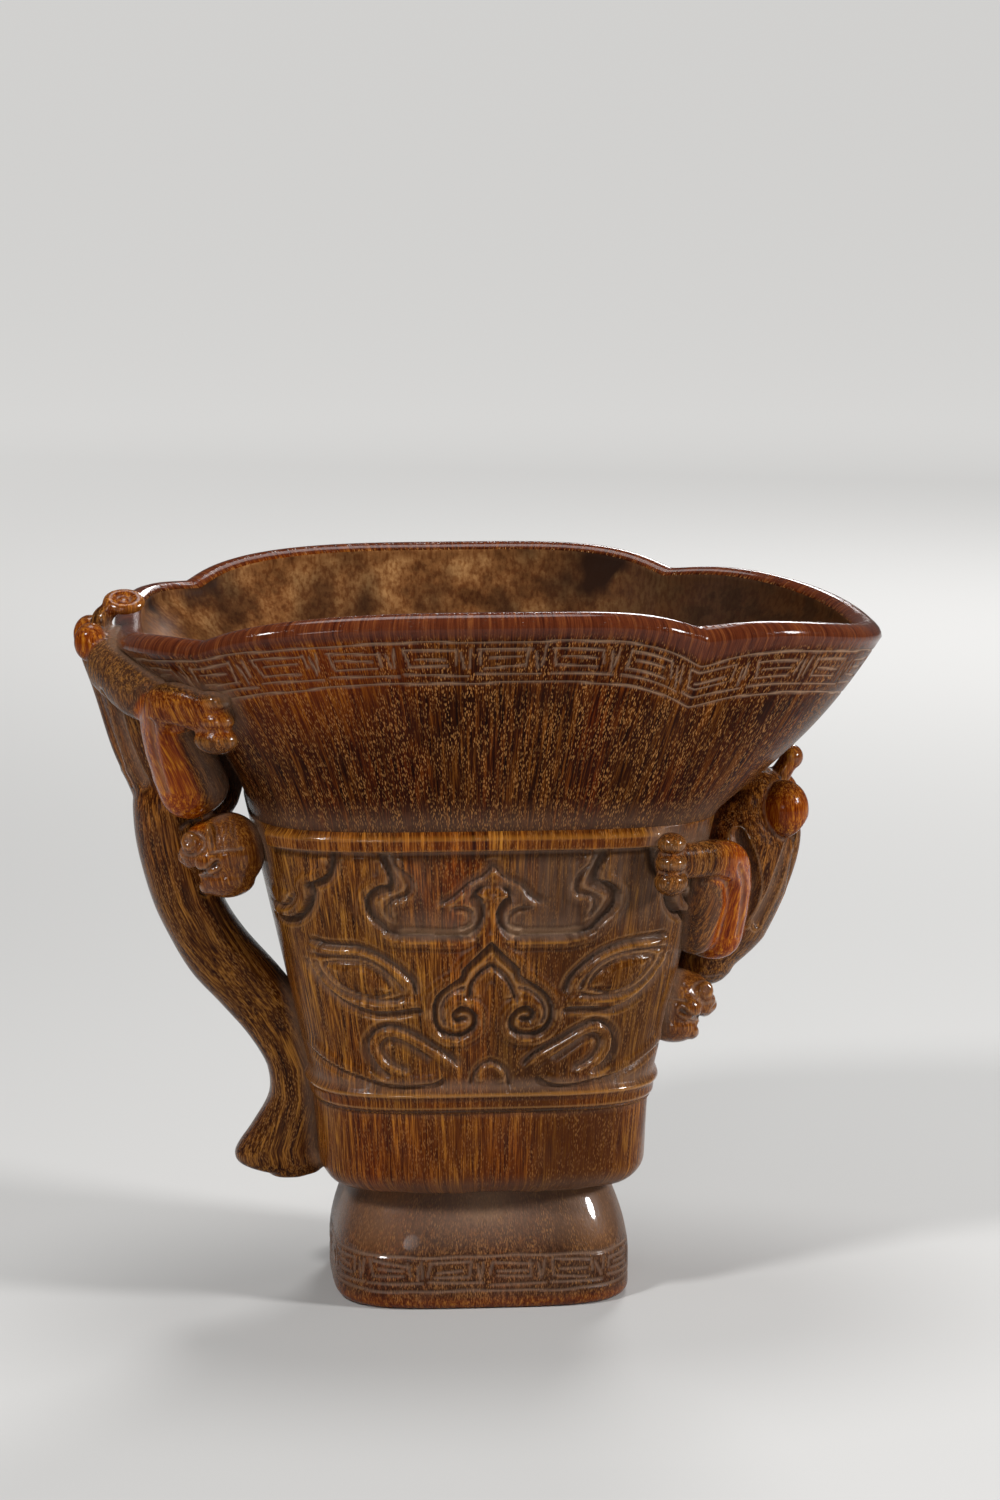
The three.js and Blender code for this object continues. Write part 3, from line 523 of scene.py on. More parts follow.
NOSE_OUTER = [
    (0.0, 69.9), (2.6, 67.2), (4.8, 65.0), (5.4, 63.4), (7.6, 61.8), (9.8, 59.8), (10.8, 57.2), (10.4, 54.4),
    (8.6, 52.4), (5.6, 52.1), (3.2, 53.6), (2.9, 55.6), (4.0, 57.2), (5.9, 57.8), (7.3, 56.5), (6.8, 55.0),
    (5.3, 55.1),
]
NOSE_INNER = [(0.0, 65.4), (2.0, 63.8), (3.2, 61.9), (3.9, 59.6)]
NOSE_BAND = [(4.6, 61.2), (6.8, 60.5), (8.6, 58.7), (9.1, 56.4), (8.4, 54.3)]
JAW = [
    (5.4, 46.2), (8.2, 48.7), (12.4, 51.2), (16.0, 53.1), (18.6, 53.8), (20.7, 52.9), (21.8, 51.2),
    (21.6, 48.8), (20.0, 46.3), (17.6, 44.5),
]
JAW_INNER = [
    (10.4, 47.6), (13.6, 49.8), (16.6, 51.6), (18.6, 51.9), (19.8, 50.6), (19.4, 48.6), (17.6, 46.6),
    (14.4, 45.0),
]
LIP_SWIRL = [(33.0, 49.4), (28.4, 46.6), (24.4, 44.7), (20.2, 43.4), (15.1, 42.6), (10.6, 43.0), (8.0, 44.6)]
CHIN = [(0.0, 47.3), (1.5, 46.7), (2.6, 45.4), (3.0, 43.6)]
CORNER_LOBE = [
    (28.7, 87.5), (29.3, 83.0), (31.2, 81.3), (32.8, 80.5), (32.2, 78.5), (32.6, 76.0), (34.2, 73.9),
    (36.6, 73.5), (39.3, 75.0),
]
CORNER_ARC = [(39.6, 77.4), (37.8, 75.8), (35.8, 76.1), (35.0, 78.4)]

# Each cut: its line, depth, width of the slope, and the side that the slope lies on
MASK_CUTS = [
    (HORN_OUTLINE, 1.15, 2.6, -1),
    (HORN_INNER, 0.75, 1.7, 1),
    (CREST, 0.8, 1.7, 1),
    (CREST_CURL, 0.6, 1.2, 1),
    (EYE_TOP, 1.1, 1.5, 1),
    (EYE_BOTTOM, 0.95, 1.5, -1),
    (EYE_INNER_TOP, 0.75, 1.0, -1),
    (PUPIL, 0.5, 0.7, 1),
    (EYE_INNER_BOTTOM, 0.7, 1.0, 1),
    (NOSE_OUTER, 1.15, 1.3, -1),
    (NOSE_INNER, 0.95, 1.1, 1),
    (NOSE_BAND, 0.55, 0.8, 1),
    (JAW, 1.0, 1.5, 1),
    (JAW_INNER, 0.7, 1.6, -1),
    (LIP_SWIRL, 0.8, 1.5, 1),
    (CHIN, 0.7, 1.2, 1),
    (CORNER_LOBE, 1.25, 1.9, -1),
    (CORNER_ARC, 0.6, 1.2, 1),
]
CUT_STRENGTH = 1.45
RIBBON_STRENGTH = 0.62
RIBBON_WIDTH = 2.4


def mask_relief(points):
    """The mask's cuts, swellings and sunken clouds at points given by distance from the middle and height."""
    sway = np.column_stack([
        0.25 * np.sin(points[:, 1] * 0.19 + 0.7) + 0.12 * np.sin(points[:, 1] * 0.53),
        0.22 * np.sin(points[:, 0] * 0.17 + 1.1) + 0.10 * np.sin(points[:, 0] * 0.61),
    ])
    half = points + sway
    half[:, 0] = np.abs(half[:, 0])
    cut, ribbon = np.zeros(len(points)), np.zeros(len(points))
    for line, depth, slope, side in MASK_CUTS:
        fade = 0.0 if line[0][0] == 0.0 else 0.05
        smooth = curve_through(line)
        carved = slant_cut(half, smooth, CUT_STRENGTH * depth, slope, slope_side=side, fade=fade)
        cut = np.maximum(cut, carved)
        lift = RIBBON_STRENGTH * depth
        ribbon = np.maximum(ribbon, raised_edge(half, smooth, lift, RIBBON_WIDTH, slope_side=side))
    pupil = curve_through(PUPIL)
    distance, side, _ = distance_to(half, pupil)
    enclosed = (side < 0) & np.all((half > pupil.min(axis=0)) & (half < pupil.max(axis=0)), axis=1)
    within_pupil = np.where(enclosed, distance, 0.0)
    swell = np.maximum(ribbon, 0.8 * smooth_step(0.0, 1.6, within_pupil))
    across, height = half.T
    cloud = (height > 70.6) & (height < 79.0) & (across > 2.4) & (across < 17.0)
    sunken = cloud * smooth_step(79.0, 71.5, height) * smooth_step(17.5, 15.0, across)
    return cut, swell, sunken * smooth_step(2.0, 4.0, across)


FRIEZE_MIDDLE = 66.0
SOCKET_DEPTH = 3.0


def make_frieze(columns=560):
    height_of = lambda a: FRIEZE_MIDDLE + 0 * a
    face = lambda a: 0.4 + 0.6 * smooth_step(0.40, 0.52, np.abs(np.sin(a)))
    angle, travel = even_angles(columns, lambda a: wall_radius(a, height_of(a)), height_of, face)
    lowest = LOWER_FILLET - 0.4
    levels = np.linspace(lowest, BOWL, 154)
    grid = np.array([polar(angle, wall_radius(angle, level), level) for level in levels])
    normal = grid_normals(grid)
    height = grid[..., 2]
    degrees = np.degrees(np.abs(angle))[None, :]
    ledge = smooth_step(45.0, 48.5, degrees) * smooth_step(149.5, 146.5, degrees)
    upper = smooth_step(UPPER_FILLET - 0.25, UPPER_FILLET + 0.25, height)
    upper = upper * smooth_step(BOWL, BOWL - 0.9, height)
    raised = 1.55 * upper * ledge
    under_ledge = 0.45 * ledge * np.exp(-((height - UPPER_FILLET + 0.7) / 0.5) ** 2)
    ridge = 0.95 * np.exp(-((height - FRIEZE - 0.1) / 0.75) ** 2)
    in_band = smooth_step(LOWER_FILLET, LOWER_FILLET + 0.4, height)
    in_band = in_band * smooth_step(FRIEZE + 0.4, FRIEZE - 0.6, height)
    score = 0.4 * np.exp(-((height - LOWER_FILLET) / 0.35) ** 2)
    flat = np.column_stack([grid[..., 0].ravel(), height.ravel()])
    cut, swell, sunken = (layer.reshape(height.shape) for layer in mask_relief(flat))
    on_face = smooth_step(0.45, 0.62, np.abs(grid[..., 1]) / wall_radius(math.pi / 2, height))
    below_ledge = smooth_step(UPPER_FILLET, UPPER_FILLET - 0.5, height)
    cut = cut * on_face * below_ledge
    sunken = sunken * on_face
    lift = 0.35 + raised + ridge + 0.42 * in_band + 0.8 * swell * on_face
    lift = lift - under_ledge - score - cut - 0.5 * sunken
    relief = grid + normal * lift[..., None]
    back = [polar(angle, wall_radius(angle, level) - SOCKET_DEPTH, level) for level in (BOWL, lowest)]
    whole = np.concatenate([relief, back, relief[:1]])
    dust = np.clip(cut / 1.2, 0.0, 0.6) + 0.5 * sunken + 0.8 * under_ledge + 0.5 * score
    dust = np.maximum(dust, 0.55 * smooth_step(2.0, 0.0, np.abs(height - FRIEZE - 1.6)))
    # Painted shade in the deepest cuts and in the score at the lower fillet; the soot is added to it below.
    shade = smooth_step(0.8, 1.4, cut) + 0.5 * smooth_step(0.2, 0.4, score)
    soot = on_face * below_ledge * (grid[..., 1] < 0.0) * soot_at(grid[..., 0], height)
    layers = {
        "dust": np.maximum(dust, 0.40 * soot),
        "shade": shade + 0.60 * soot,
        "amber": 0.15 * upper * ledge + 0.12 * in_band,
    }
    spare = np.zeros((len(whole) - len(grid), columns + 1))
    layers = {name: np.concatenate([layer, spare]) for name, layer in layers.items()}
    return rolled_sheet("frieze", whole, travel, lip=0.0, hollow=0.0, polish=0.0, **layers)


def soot_at(across, height):
    """Streaks of soot high on the front, thicker towards the spout."""
    streaks = 0.65 + 0.35 * np.sin(3.1 * across) * np.sin(1.7 * across + 0.6)
    spout_side = smooth_step(0.0, 7.0, across)
    handle_side = 0.55 * smooth_step(-7.0, -12.0, across) * smooth_step(-24.0, -18.0, across)
    return streaks * (spout_side + handle_side) * smooth_step(68.0, 75.0, height)


BELT_MIDDLE = 30.0
BELT_TOP = 38.2


def make_belt(columns=400):
    angle, travel = even_angles(columns, lambda a: wall_radius(a, BELT_MIDDLE), lambda a: BELT_MIDDLE + 0 * a)
    rows = [polar(angle, wall_radius(angle, BELT_TOP) - SOCKET_DEPTH, BELT_TOP)]
    levels = list(np.linspace(BELT_TOP, FOOT_TOP + BELT_ROUND, 24, endpoint=False))
    levels += [FOOT_TOP + BELT_ROUND * (1 - math.sin(t)) for t in np.linspace(0, math.pi / 2, 13)]
    for level in levels:
        rows.append(polar(angle, wall_radius(angle, level), level))
    for inset in (2.0, 8.0):
        rows.append(polar(angle, wall_radius(angle, FOOT_TOP) - inset, FOOT_TOP))
    rows.append(rows[0])
    grid = np.array(rows)
    normal = grid_normals(grid)
    height = grid[..., 2]
    turn = angle[None, :]
    tooled = 0.10 * np.sin(9 * turn + 0.13 * height) + 0.07 * np.sin(23 * turn - 0.21 * height)
    shown = (np.arange(len(rows)) > 0) & (np.arange(len(rows)) < len(rows) - 3)
    grid = grid + normal * (tooled * shown[:, None])[..., None]
    dust = 0.5 * smooth_step(26.5, 22.0, height) + 0.25 * smooth_step(36.0, 38.0, height)
    # The belt's even amber is painted light, brightening the belt where it sits in shade below the frieze.
    plain = {"shade": 0.0, "amber": 0.12, "lip": 0.0, "hollow": 0.0, "polish": 0.0}
    return rolled_sheet("belt", grid, travel, dust=dust, **plain)


FOOT_BAND_TOP = 9.9
FOOT_BAND_HEIGHT = 6.4
FOOT_BAND_PITCH = 11.0
FOOT_BAND_LINE = 0.34
FOOT_BAND_DEPTH = 0.3
FINE_ROWS_TOP = 10.6
FOOT_TENON = 0.6
RECESS_ROUND = 1.5
RING_ROUND = 0.4


def make_foot(columns=680):
    outline = lambda a, inset: superellipse(a, FOOT_PLAN[0] - inset, FOOT_PLAN[1] - inset, PLAN_SQUARENESS)
    angle, travel = even_angles(columns, lambda a: outline(a, 0.0), lambda a: 0 * a)

    def ring(inset, level):
        return polar(angle, outline(angle, inset), level)

    rows = [polar(angle, 0 * angle, FOOT_RECESS)]
    rows.append(ring(FOOT_RIM_WIDTH + RECESS_ROUND, FOOT_RECESS))
    rows.append(ring(FOOT_RIM_WIDTH, FOOT_RECESS - RECESS_ROUND))
    rows.append(ring(FOOT_RIM_WIDTH, RING_ROUND))
    rows.append(ring(FOOT_RIM_WIDTH - RING_ROUND, 0.0))
    for turn in np.linspace(0.0, math.pi / 2, 7):
        rows.append(ring(FOOT_EDGE * (1 - math.sin(turn)), FOOT_EDGE * (1 - math.cos(turn))))
    first = len(rows)
    upright = 0.35 * FOOT_TOP
    fine_levels = np.linspace(FOOT_EDGE, FINE_ROWS_TOP, 36)[1:]
    coarse_levels = np.linspace(FINE_ROWS_TOP, FOOT_TOP + FOOT_TENON, 16)[1:]
    for level in (*fine_levels, *coarse_levels):
        lean = max(0.0, (level - upright) / (FOOT_TOP - upright)) ** 1.7
        rows.append(ring(FOOT_NECK_INSET * lean, level))
    rows.append(polar(angle, 0 * angle, FOOT_TOP + FOOT_TENON))
    grid = np.array(rows)
    normal = grid_normals(grid)
    height = grid[..., 2]
    down = (FOOT_BAND_TOP - height) / FOOT_BAND_HEIGHT
    number = np.arange(len(rows))[:, None]
    in_band = (number >= first) & (number < len(rows) - 1) & (down > -0.12) & (down < 1.12)
    cut = np.zeros(grid.shape[:2])
    spread = np.broadcast_to(travel, grid.shape[:2])
    fret = (FOOT_BAND_PITCH, FOOT_BAND_HEIGHT, FOOT_BAND_LINE, FOOT_BAND_DEPTH)
    cut[in_band] = fret_cut(spread[in_band], down[in_band], *fret, seed=11)
    cut[:, -1] = cut[:, 0]
    grid = grid - normal * cut[..., None]
    corner = np.abs(np.sin(2 * angle))[None, :] ** 2
    under_belt = smooth_step(9.0, 17.0, height)
    dust = np.clip(cut / 0.25, 0.0, 1.0) * 0.75 + 0.8 * under_belt * (1.0 - 0.5 * corner)
    amber = 0.45 * smooth_step(3.2, 0.8, height)
    # Glossy corners, which also take a painted gold highlight.
    polish = 0.85 * corner ** 8 * smooth_step(7.0, 13.0, height)
    layers = {"dust": dust, "amber": amber, "polish": polish}
    return rolled_sheet("carved_foot", grid, travel, shade=0.0, lip=0.0, hollow=0.0, **layers)


# Dragons and handle: rounded forms fused by a remesh, then carved.
# Heights are shares of the storey that a dragon climbs, and stand-offs are shares of its reach.
# Stations of arm and muscle: degrees from the end, height, stand-off, half breadth and half thickness.
# Stations of the spine: height, stand-off, size, and how far the inner side is drawn to the wall.
DRAGONS = {
    "spout": {
        "end": SPOUT,
        "level": lambda share: UPPER_FILLET + share * FRIEZE_HEIGHT,
        "reach": 13.6,
        "voxel": 0.34,
        "toes": (3.2, 2.8, 2.6),
        "look": (0.996, 0.031, -0.085),
        "roll": -15.5,
        "eye_ring": 0.0,
        "ears": False,
        "bite": 0.7,
        "paw_tone": 0.0,
        "head_size": 7.2,
        "arm": [
            (46.0, -0.068, 0.16, 3.2, 2.5), (39.5, -0.075, 0.15, 3.3, 2.6), (32, -0.085, 0.25, 3.4, 3.0),
            (25.5, -0.125, 0.37, 3.8, 3.6), (21.5, -0.21, 0.38, 4.4, 5.0), (19.5, -0.32, 0.36, 5.0, 5.9),
            (18.0, -0.425, 0.35, 5.2, 6.2),
        ],
        "head": (20.8, -0.719, 0.165),
        "spine": [
            (-0.57, 0.62, 0.72, 0.7), (-0.44, 0.82, 0.95, 1.0), (-0.263, 0.95, 1.0, 1.0),
            (-0.0875, 0.97, 0.95, 1.0), (0.045, 0.84, 0.75, 0.55),
        ],
        "haunch": (6, 0.03, 1.06, 4.5),
        "muscle": [
            (29.0, -0.17, 0.14, 4.6, 3.4), (27.0, -0.28, 0.16, 5.6, 4.2), (25.0, -0.41, 0.16, 5.0, 4.0),
        ],
        "panel": [[(6.0, -0.04), (7.5, -0.24), (9.0, -0.42)], [(13.0, -0.05), (12.0, -0.24), (11.5, -0.40)]],
        "tail": [(0.075, 0.88), (0.149, 0.6), (0.222, 0.4)],
        "tail_tip": (2.2, 2.6, 2.3),
        "tail_end": 2.4,
    },
    "handle": {
        "end": HANDLE,
        "level": lambda share: BOWL + share * BOWL_AT_ENDS,
        "reach": 14.6,
        "voxel": 0.41,
        "toes": (4.0, 3.5, 3.2),
        "look": (-0.972, 0.209, -0.112),
        "roll": 11.8,
        "eye_ring": 0.4,
        "ears": True,
        "bite": 1.3,
        "paw_tone": 0.45,
        "head_size": 7.9,
        "arm": [
            (36.6, 0.63, 0.17, 3.5, 2.7), (33.0, 0.69, 0.21, 3.8, 2.9), (28.8, 0.70, 0.31, 3.7, 3.1),
            (24.6, 0.60, 0.45, 3.9, 3.6), (21.6, 0.45, 0.54, 4.5, 5.0), (19.4, 0.30, 0.58, 5.2, 6.2),
            (18.0, 0.17, 0.62, 5.4, 6.4),
        ],
        "head": (20.6, -0.194, 0.54),
        "spine": [
            (0.121, 0.98, 0.95, 0.85), (0.324, 0.9, 1.0, 1.0), (0.633, 0.52, 1.0, 1.0),
            (0.818, 0.27, 0.9, 1.0),
        ],
        "haunch": (4.1, 0.921, 0.308, 3.0),
        "muscle": [(7.0, 0.80, 0.30, 5.2, 5.6), (18.0, 0.73, 0.26, 5.5, 5.5), (27.0, 0.65, 0.17, 4.4, 4.0)],
        "panel": [[(7.0, 0.62), (6.0, 0.40), (6.5, 0.16)], [(12.5, 0.66), (11.0, 0.46), (10.0, 0.30)]],
        "tail": [(0.88, 0.33), (1.04, 0.14), (1.12, -0.12)],
        "tail_end": 1.3,
    },
}
BODY_BREADTH, BODY_DEPTH = 11.0, 6.0
BODY_ROOT = 2.0


def at_dragon(dragon, side, degrees, up, off):
    return around(dragon["end"], side, degrees, dragon["level"](up), off * dragon["reach"])


def limb_stations(dragon, side, limb):
    return [(at_dragon(dragon, side, d, u, o), broad, thick) for d, u, o, broad, thick in dragon[limb]]


def limb_line(dragon, side, limb):
    return np.array([place for place, _, _ in limb_stations(dragon, side, limb)])


def outward_at(point):
    return np.array([point[0], point[1], 0.0]) / np.hypot(point[0], point[1])


def swept_form(stations, squareness=2.0, sides=28):
    """A round-ended form through stations, each a place with its breadth along the wall and its depth."""
    places = curve_through([s[0] for s in stations], 8)
    given = np.linspace(0.0, 1.0, len(stations))
    share = np.linspace(0.0, 1.0, len(places))
    broad = np.interp(share, given, [s[1] for s in stations])
    thick = np.interp(share, given, [s[2] for s in stations])
    along = np.gradient(places, axis=0)
    along /= np.linalg.norm(along, axis=1, keepdims=True)
    turn = np.linspace(0.0, 2 * math.pi, sides + 1)
    rows = []

    def ring(i, shift, scale):
        out = outward_at(places[i])
        out -= along[i] * (out @ along[i])
        out /= np.linalg.norm(out)
        across = np.cross(along[i], out)
        centre = places[i] + along[i] * shift * min(broad[i], thick[i])
        radius = superellipse(turn, thick[i], broad[i], squareness) * scale
        return centre + np.outer(radius * np.cos(turn), out) + np.outer(radius * np.sin(turn), across)

    for tilt in np.linspace(0.0, math.pi / 2, 7)[:-1]:
        rows.append(ring(0, -math.cos(tilt), math.sin(tilt)))
    for i in range(len(places)):
        rows.append(ring(i, 0.0, 1.0))
    for tilt in np.linspace(math.pi / 2, 0.0, 7)[1:]:
        rows.append(ring(len(places) - 1, math.cos(tilt), math.sin(tilt)))
    return rolled_sheet("form", np.array(rows))


def lump(centre, radii, axes=None):
    """An egg-shaped mass, turned to the given axes."""
    deselect()
    bpy.ops.mesh.primitive_uv_sphere_add(segments=32, ring_count=18, radius=1.0)
    form = bpy.context.object
    turned = np.eye(3) if axes is None else np.array(axes)
    points = points_of(form) * MM * np.asarray(radii)
    move_points(form, points @ turned + np.asarray(centre))
    return form


def fused(name, forms, voxel, relax=3):
    """Forms joined and remeshed into one skin, with its creases softened."""
    deselect()
    for form in forms:
        form.select_set(True)
    bpy.context.view_layer.objects.active = forms[0]
    bpy.ops.object.join()
    piece = bpy.context.object
    piece.name = piece.data.name = name
    remesh = piece.modifiers.new("skin", "REMESH")
    remesh.mode = "VOXEL"
    remesh.voxel_size = voxel * MM
    bpy.ops.object.modifier_apply(modifier=remesh.name)
    relaxing = piece.modifiers.new("relax", "SMOOTH")
    relaxing.factor = 0.5
    relaxing.iterations = relax
    bpy.ops.object.modifier_apply(modifier=relaxing.name)
    bpy.ops.object.shade_smooth()
    return piece


def head_axes(dragon):
    forward = np.array(dragon["look"], float)
    forward /= np.linalg.norm(forward)
    left = np.cross([0.0, 0.0, 1.0], forward)
    left /= np.linalg.norm(left)
    up = np.cross(forward, left)
    roll = math.radians(dragon["roll"])
    turned_left = math.cos(roll) * left + math.sin(roll) * up
    return np.array([forward, turned_left, np.cross(forward, turned_left)])


def head_forms(dragon):
    axes = head_axes(dragon)
    size = dragon["head_size"]
    centre = at_dragon(dragon, FRONT, *dragon["head"])

    def mass(place, radii):
        return lump(centre + size * np.array(place) @ axes, size * np.array(radii), axes)

    forms = [
        mass((-0.16, 0, 0.04), (0.86, 0.84, 0.90)),
        mass((0.24, 0, 0.34), (0.54, 0.70, 0.46)),
        mass((0.50, 0, -0.08), (0.42, 0.56, 0.28)),
        mass((0.82, 0, 0.00), (0.17, 0.32, 0.20)),
        mass((-0.12, 0, -0.62), (0.62, 0.66, 0.40)),
        mass((0.34, 0, -0.72), (0.22, 0.40, 0.20)),
    ]
    for side in (-1, 1):
        forms.append(mass((0.52, 0.54 * side, 0.30), (0.28, 0.22, 0.28)))
        forms.append(mass((0.10, 0.64 * side, -0.16), (0.40, 0.26, 0.34)))
        forms.append(mass((0.58, 0.34 * side, 0.08), (0.32, 0.26, 0.26)))
        if dragon["ears"]:
            forms.append(mass((0.06, 0.74 * side, 0.34), (0.12, 0.20, 0.36)))
    return forms


def dragon_forms(dragon):
    end = dragon["end"]
    torso, crest = [], []
    for up, off, size, rooted in dragon["spine"]:
        standoff = off * dragon["reach"]
        outer = standoff + BODY_DEPTH * size
        inner = blend(standoff - BODY_DEPTH * size, -BODY_ROOT, rooted)
        level = dragon["level"](up)
        middle = around(end, FRONT, 0, level, (outer + inner) / 2)
        torso.append((middle, BODY_BREADTH * size, (outer - inner) / 2))
        crest.append((around(end, FRONT, 0, level, outer - 1.2), 3.0, 1.7))
    forms = [swept_form(torso, 1.9), swept_form(crest, 2.4)]
    degrees, up, off, radius = dragon["haunch"]
    for side in (FRONT, BACK):
        forms.append(lump(at_dragon(dragon, side, degrees, up, off), (radius, radius, 1.2 * radius)))
        arm = limb_stations(dragon, side, "arm")
        forms.append(swept_form(arm, 2.5))
        forms += paw_forms(arm[0][0], arm[1][0], dragon["toes"])
        forms.append(swept_form(limb_stations(dragon, side, "muscle"), 2.2))
    tail = [at_dragon(dragon, FRONT, 0, up, off) for up, off in dragon["tail"]]
    tail_breadths = (3.0, 2.6, dragon["tail_end"])
    tail_depths = (2.0, 1.9, 0.7 * dragon["tail_end"])
    forms.append(swept_form(list(zip(tail, tail_breadths, tail_depths))))
    if end == HANDLE:
        forms.append(tail_loop(tail[-1]))
    else:
        forms.append(lump(tail[-1], dragon["tail_tip"]))
    return forms + head_forms(dragon)


def tail_loop(centre):
    """The ring that the handle dragon's tail curls into, tipped towards the front."""
    deselect()
    tip = (math.radians(32.0), 0.0, 0.0)
    bpy.ops.mesh.primitive_torus_add(
        major_radius=2.1, minor_radius=1.05, major_segments=40, minor_segments=18, rotation=tip,
    )
    ring = bpy.context.object
    bpy.ops.object.transform_apply(location=True, rotation=True, scale=True)
    move_points(ring, points_of(ring) * MM * np.array([1.25, 1.0, 1.0]) + np.asarray(centre))
    return ring


TOE_PITCH = 3.5


def paw_forms(paw, wrist, lengths):
    """Three toes, one above the other."""
    reach = (paw - wrist) / np.linalg.norm(paw - wrist)
    reach[2] = 0.0
    reach /= np.linalg.norm(reach)
    axes = np.array([reach, np.cross([0, 0, 1.0], reach), [0, 0, 1.0]])
    forms = []
    for i, length, tall in zip((-1, 0, 1), lengths, (2.5, 2.0, 2.0)):
        centre = paw + 0.4 * reach + np.array([0, 0, i * TOE_PITCH]) + outward_at(paw)
        forms.append(lump(centre, (length, 2.9, tall), axes))
    return forms


def up_belt(share):
    return FOOT_TOP + share * (LOWER_FILLET - FOOT_TOP)


def up_frieze(share):
    return FRIEZE + share * FRIEZE_HEIGHT


# The bracket from the spur up to the dragon's belly: height, outer and inner stand-off, half breadth
HANDLE_STATIONS = [
    (FOOT_TOP - 0.9, 13.4, 7.1, 5.2), (up_belt(0.1), 15.8, -2.0, 6.5), (up_belt(0.28), 14.4, -2.0, 6.5),
    (up_belt(0.5), 11.6, -2.0, 6.4), (up_belt(0.85), 8.0, -2.0, 6.4), (up_frieze(0.0), 8.0, -2.0, 6.5),
    (up_frieze(0.13), 10.2, -2.0, 6.6), (up_frieze(0.26), 13.9, -1.6, 7.5), (up_frieze(0.39), 17.8, 1.4, 8.6),
    (up_frieze(0.55), 20.3, 6.1, 9.8), (up_frieze(0.7), 21.7, 8.6, 10.0), (up_frieze(0.91), 22.0, 9.0, 10.0),
    (BOWL, 20.9, 9.0, 9.8), (BOWL + 4.0, 19.5, 8.2, 8.8),
]


def handle_form():
    levels = [station[0] for station in HANDLE_STATIONS]
    spur, bracket = np.linspace(levels[0], levels[1], 8)[:-1], np.linspace(levels[1], levels[-1], 120)
    fine = np.concatenate([spur, bracket])
    smooth = curve_through(HANDLE_STATIONS, 10)
    outer, inner, half = (np.interp(fine, smooth[:, 0], smooth[:, k]) for k in (1, 2, 3))
    wall = wall_radius(math.pi, fine)
    turn = np.linspace(0.0, 2 * math.pi, 57)
    rows = []
    for i, level in enumerate(fine):
        middle = wall[i] + (outer[i] + inner[i]) / 2
        radius = superellipse(turn, (outer[i] - inner[i]) / 2, half[i], 2.6)
        ring = polar(turn, radius, level)
        ring[:, 0] -= middle
        rows.append(ring)
    caps = [np.repeat(row.mean(axis=0, keepdims=True), len(turn), axis=0) for row in (rows[0], rows[-1])]
    return rolled_sheet("form", np.array([caps[0], *rows, caps[1]]))


# Carving of the fused pieces: each stroke is a line on the skin, with its width, depth and dust (no dust:
# painted shade)

def skin_of(piece):
    corners = [vertex.co.copy() for vertex in piece.data.vertices]
    return BVHTree.FromPolygons(corners, [tuple(face.vertices) for face in piece.data.polygons])


def onto_skin(skin, centre, direction, reach=14.0):
    """The point of a skin that is met from outside, on the way to a centre."""
    direction = Vector(direction).normalized()
    centre = Vector(centre) * MM
    hit, _, _, _ = skin.ray_cast(centre + direction * reach * MM, -direction)
    return np.array(hit if hit is not None else centre + direction * 6 * MM) / MM


def carve(piece, strokes):
    points = points_of(piece)
    normals = normals_of(piece)
    move = np.zeros(len(points))
    dust, dark = np.zeros(len(points)), np.zeros(len(points))
    for line, half_width, depth, dusty in strokes:
        line = np.asarray(line)
        low, high = line.min(axis=0) - half_width, line.max(axis=0) + half_width
        near = np.all((points > low) & (points < high), axis=1)
        if not near.any():
            continue
        distance, _, _ = distance_to(points[near], line)
        press = np.clip(1.0 - (distance / half_width) ** 2, 0.0, 1.0) ** 1.4
        move[near] += depth * press
        dust[near] = np.maximum(dust[near], dusty * press)
        # Strokes without dust are the mouth's slits, which get painted shade.
        if dusty == 0.0:
            dark[near] = np.maximum(dark[near], press)
    move_points(piece, points - normals * move[:, None])
    return dust, dark


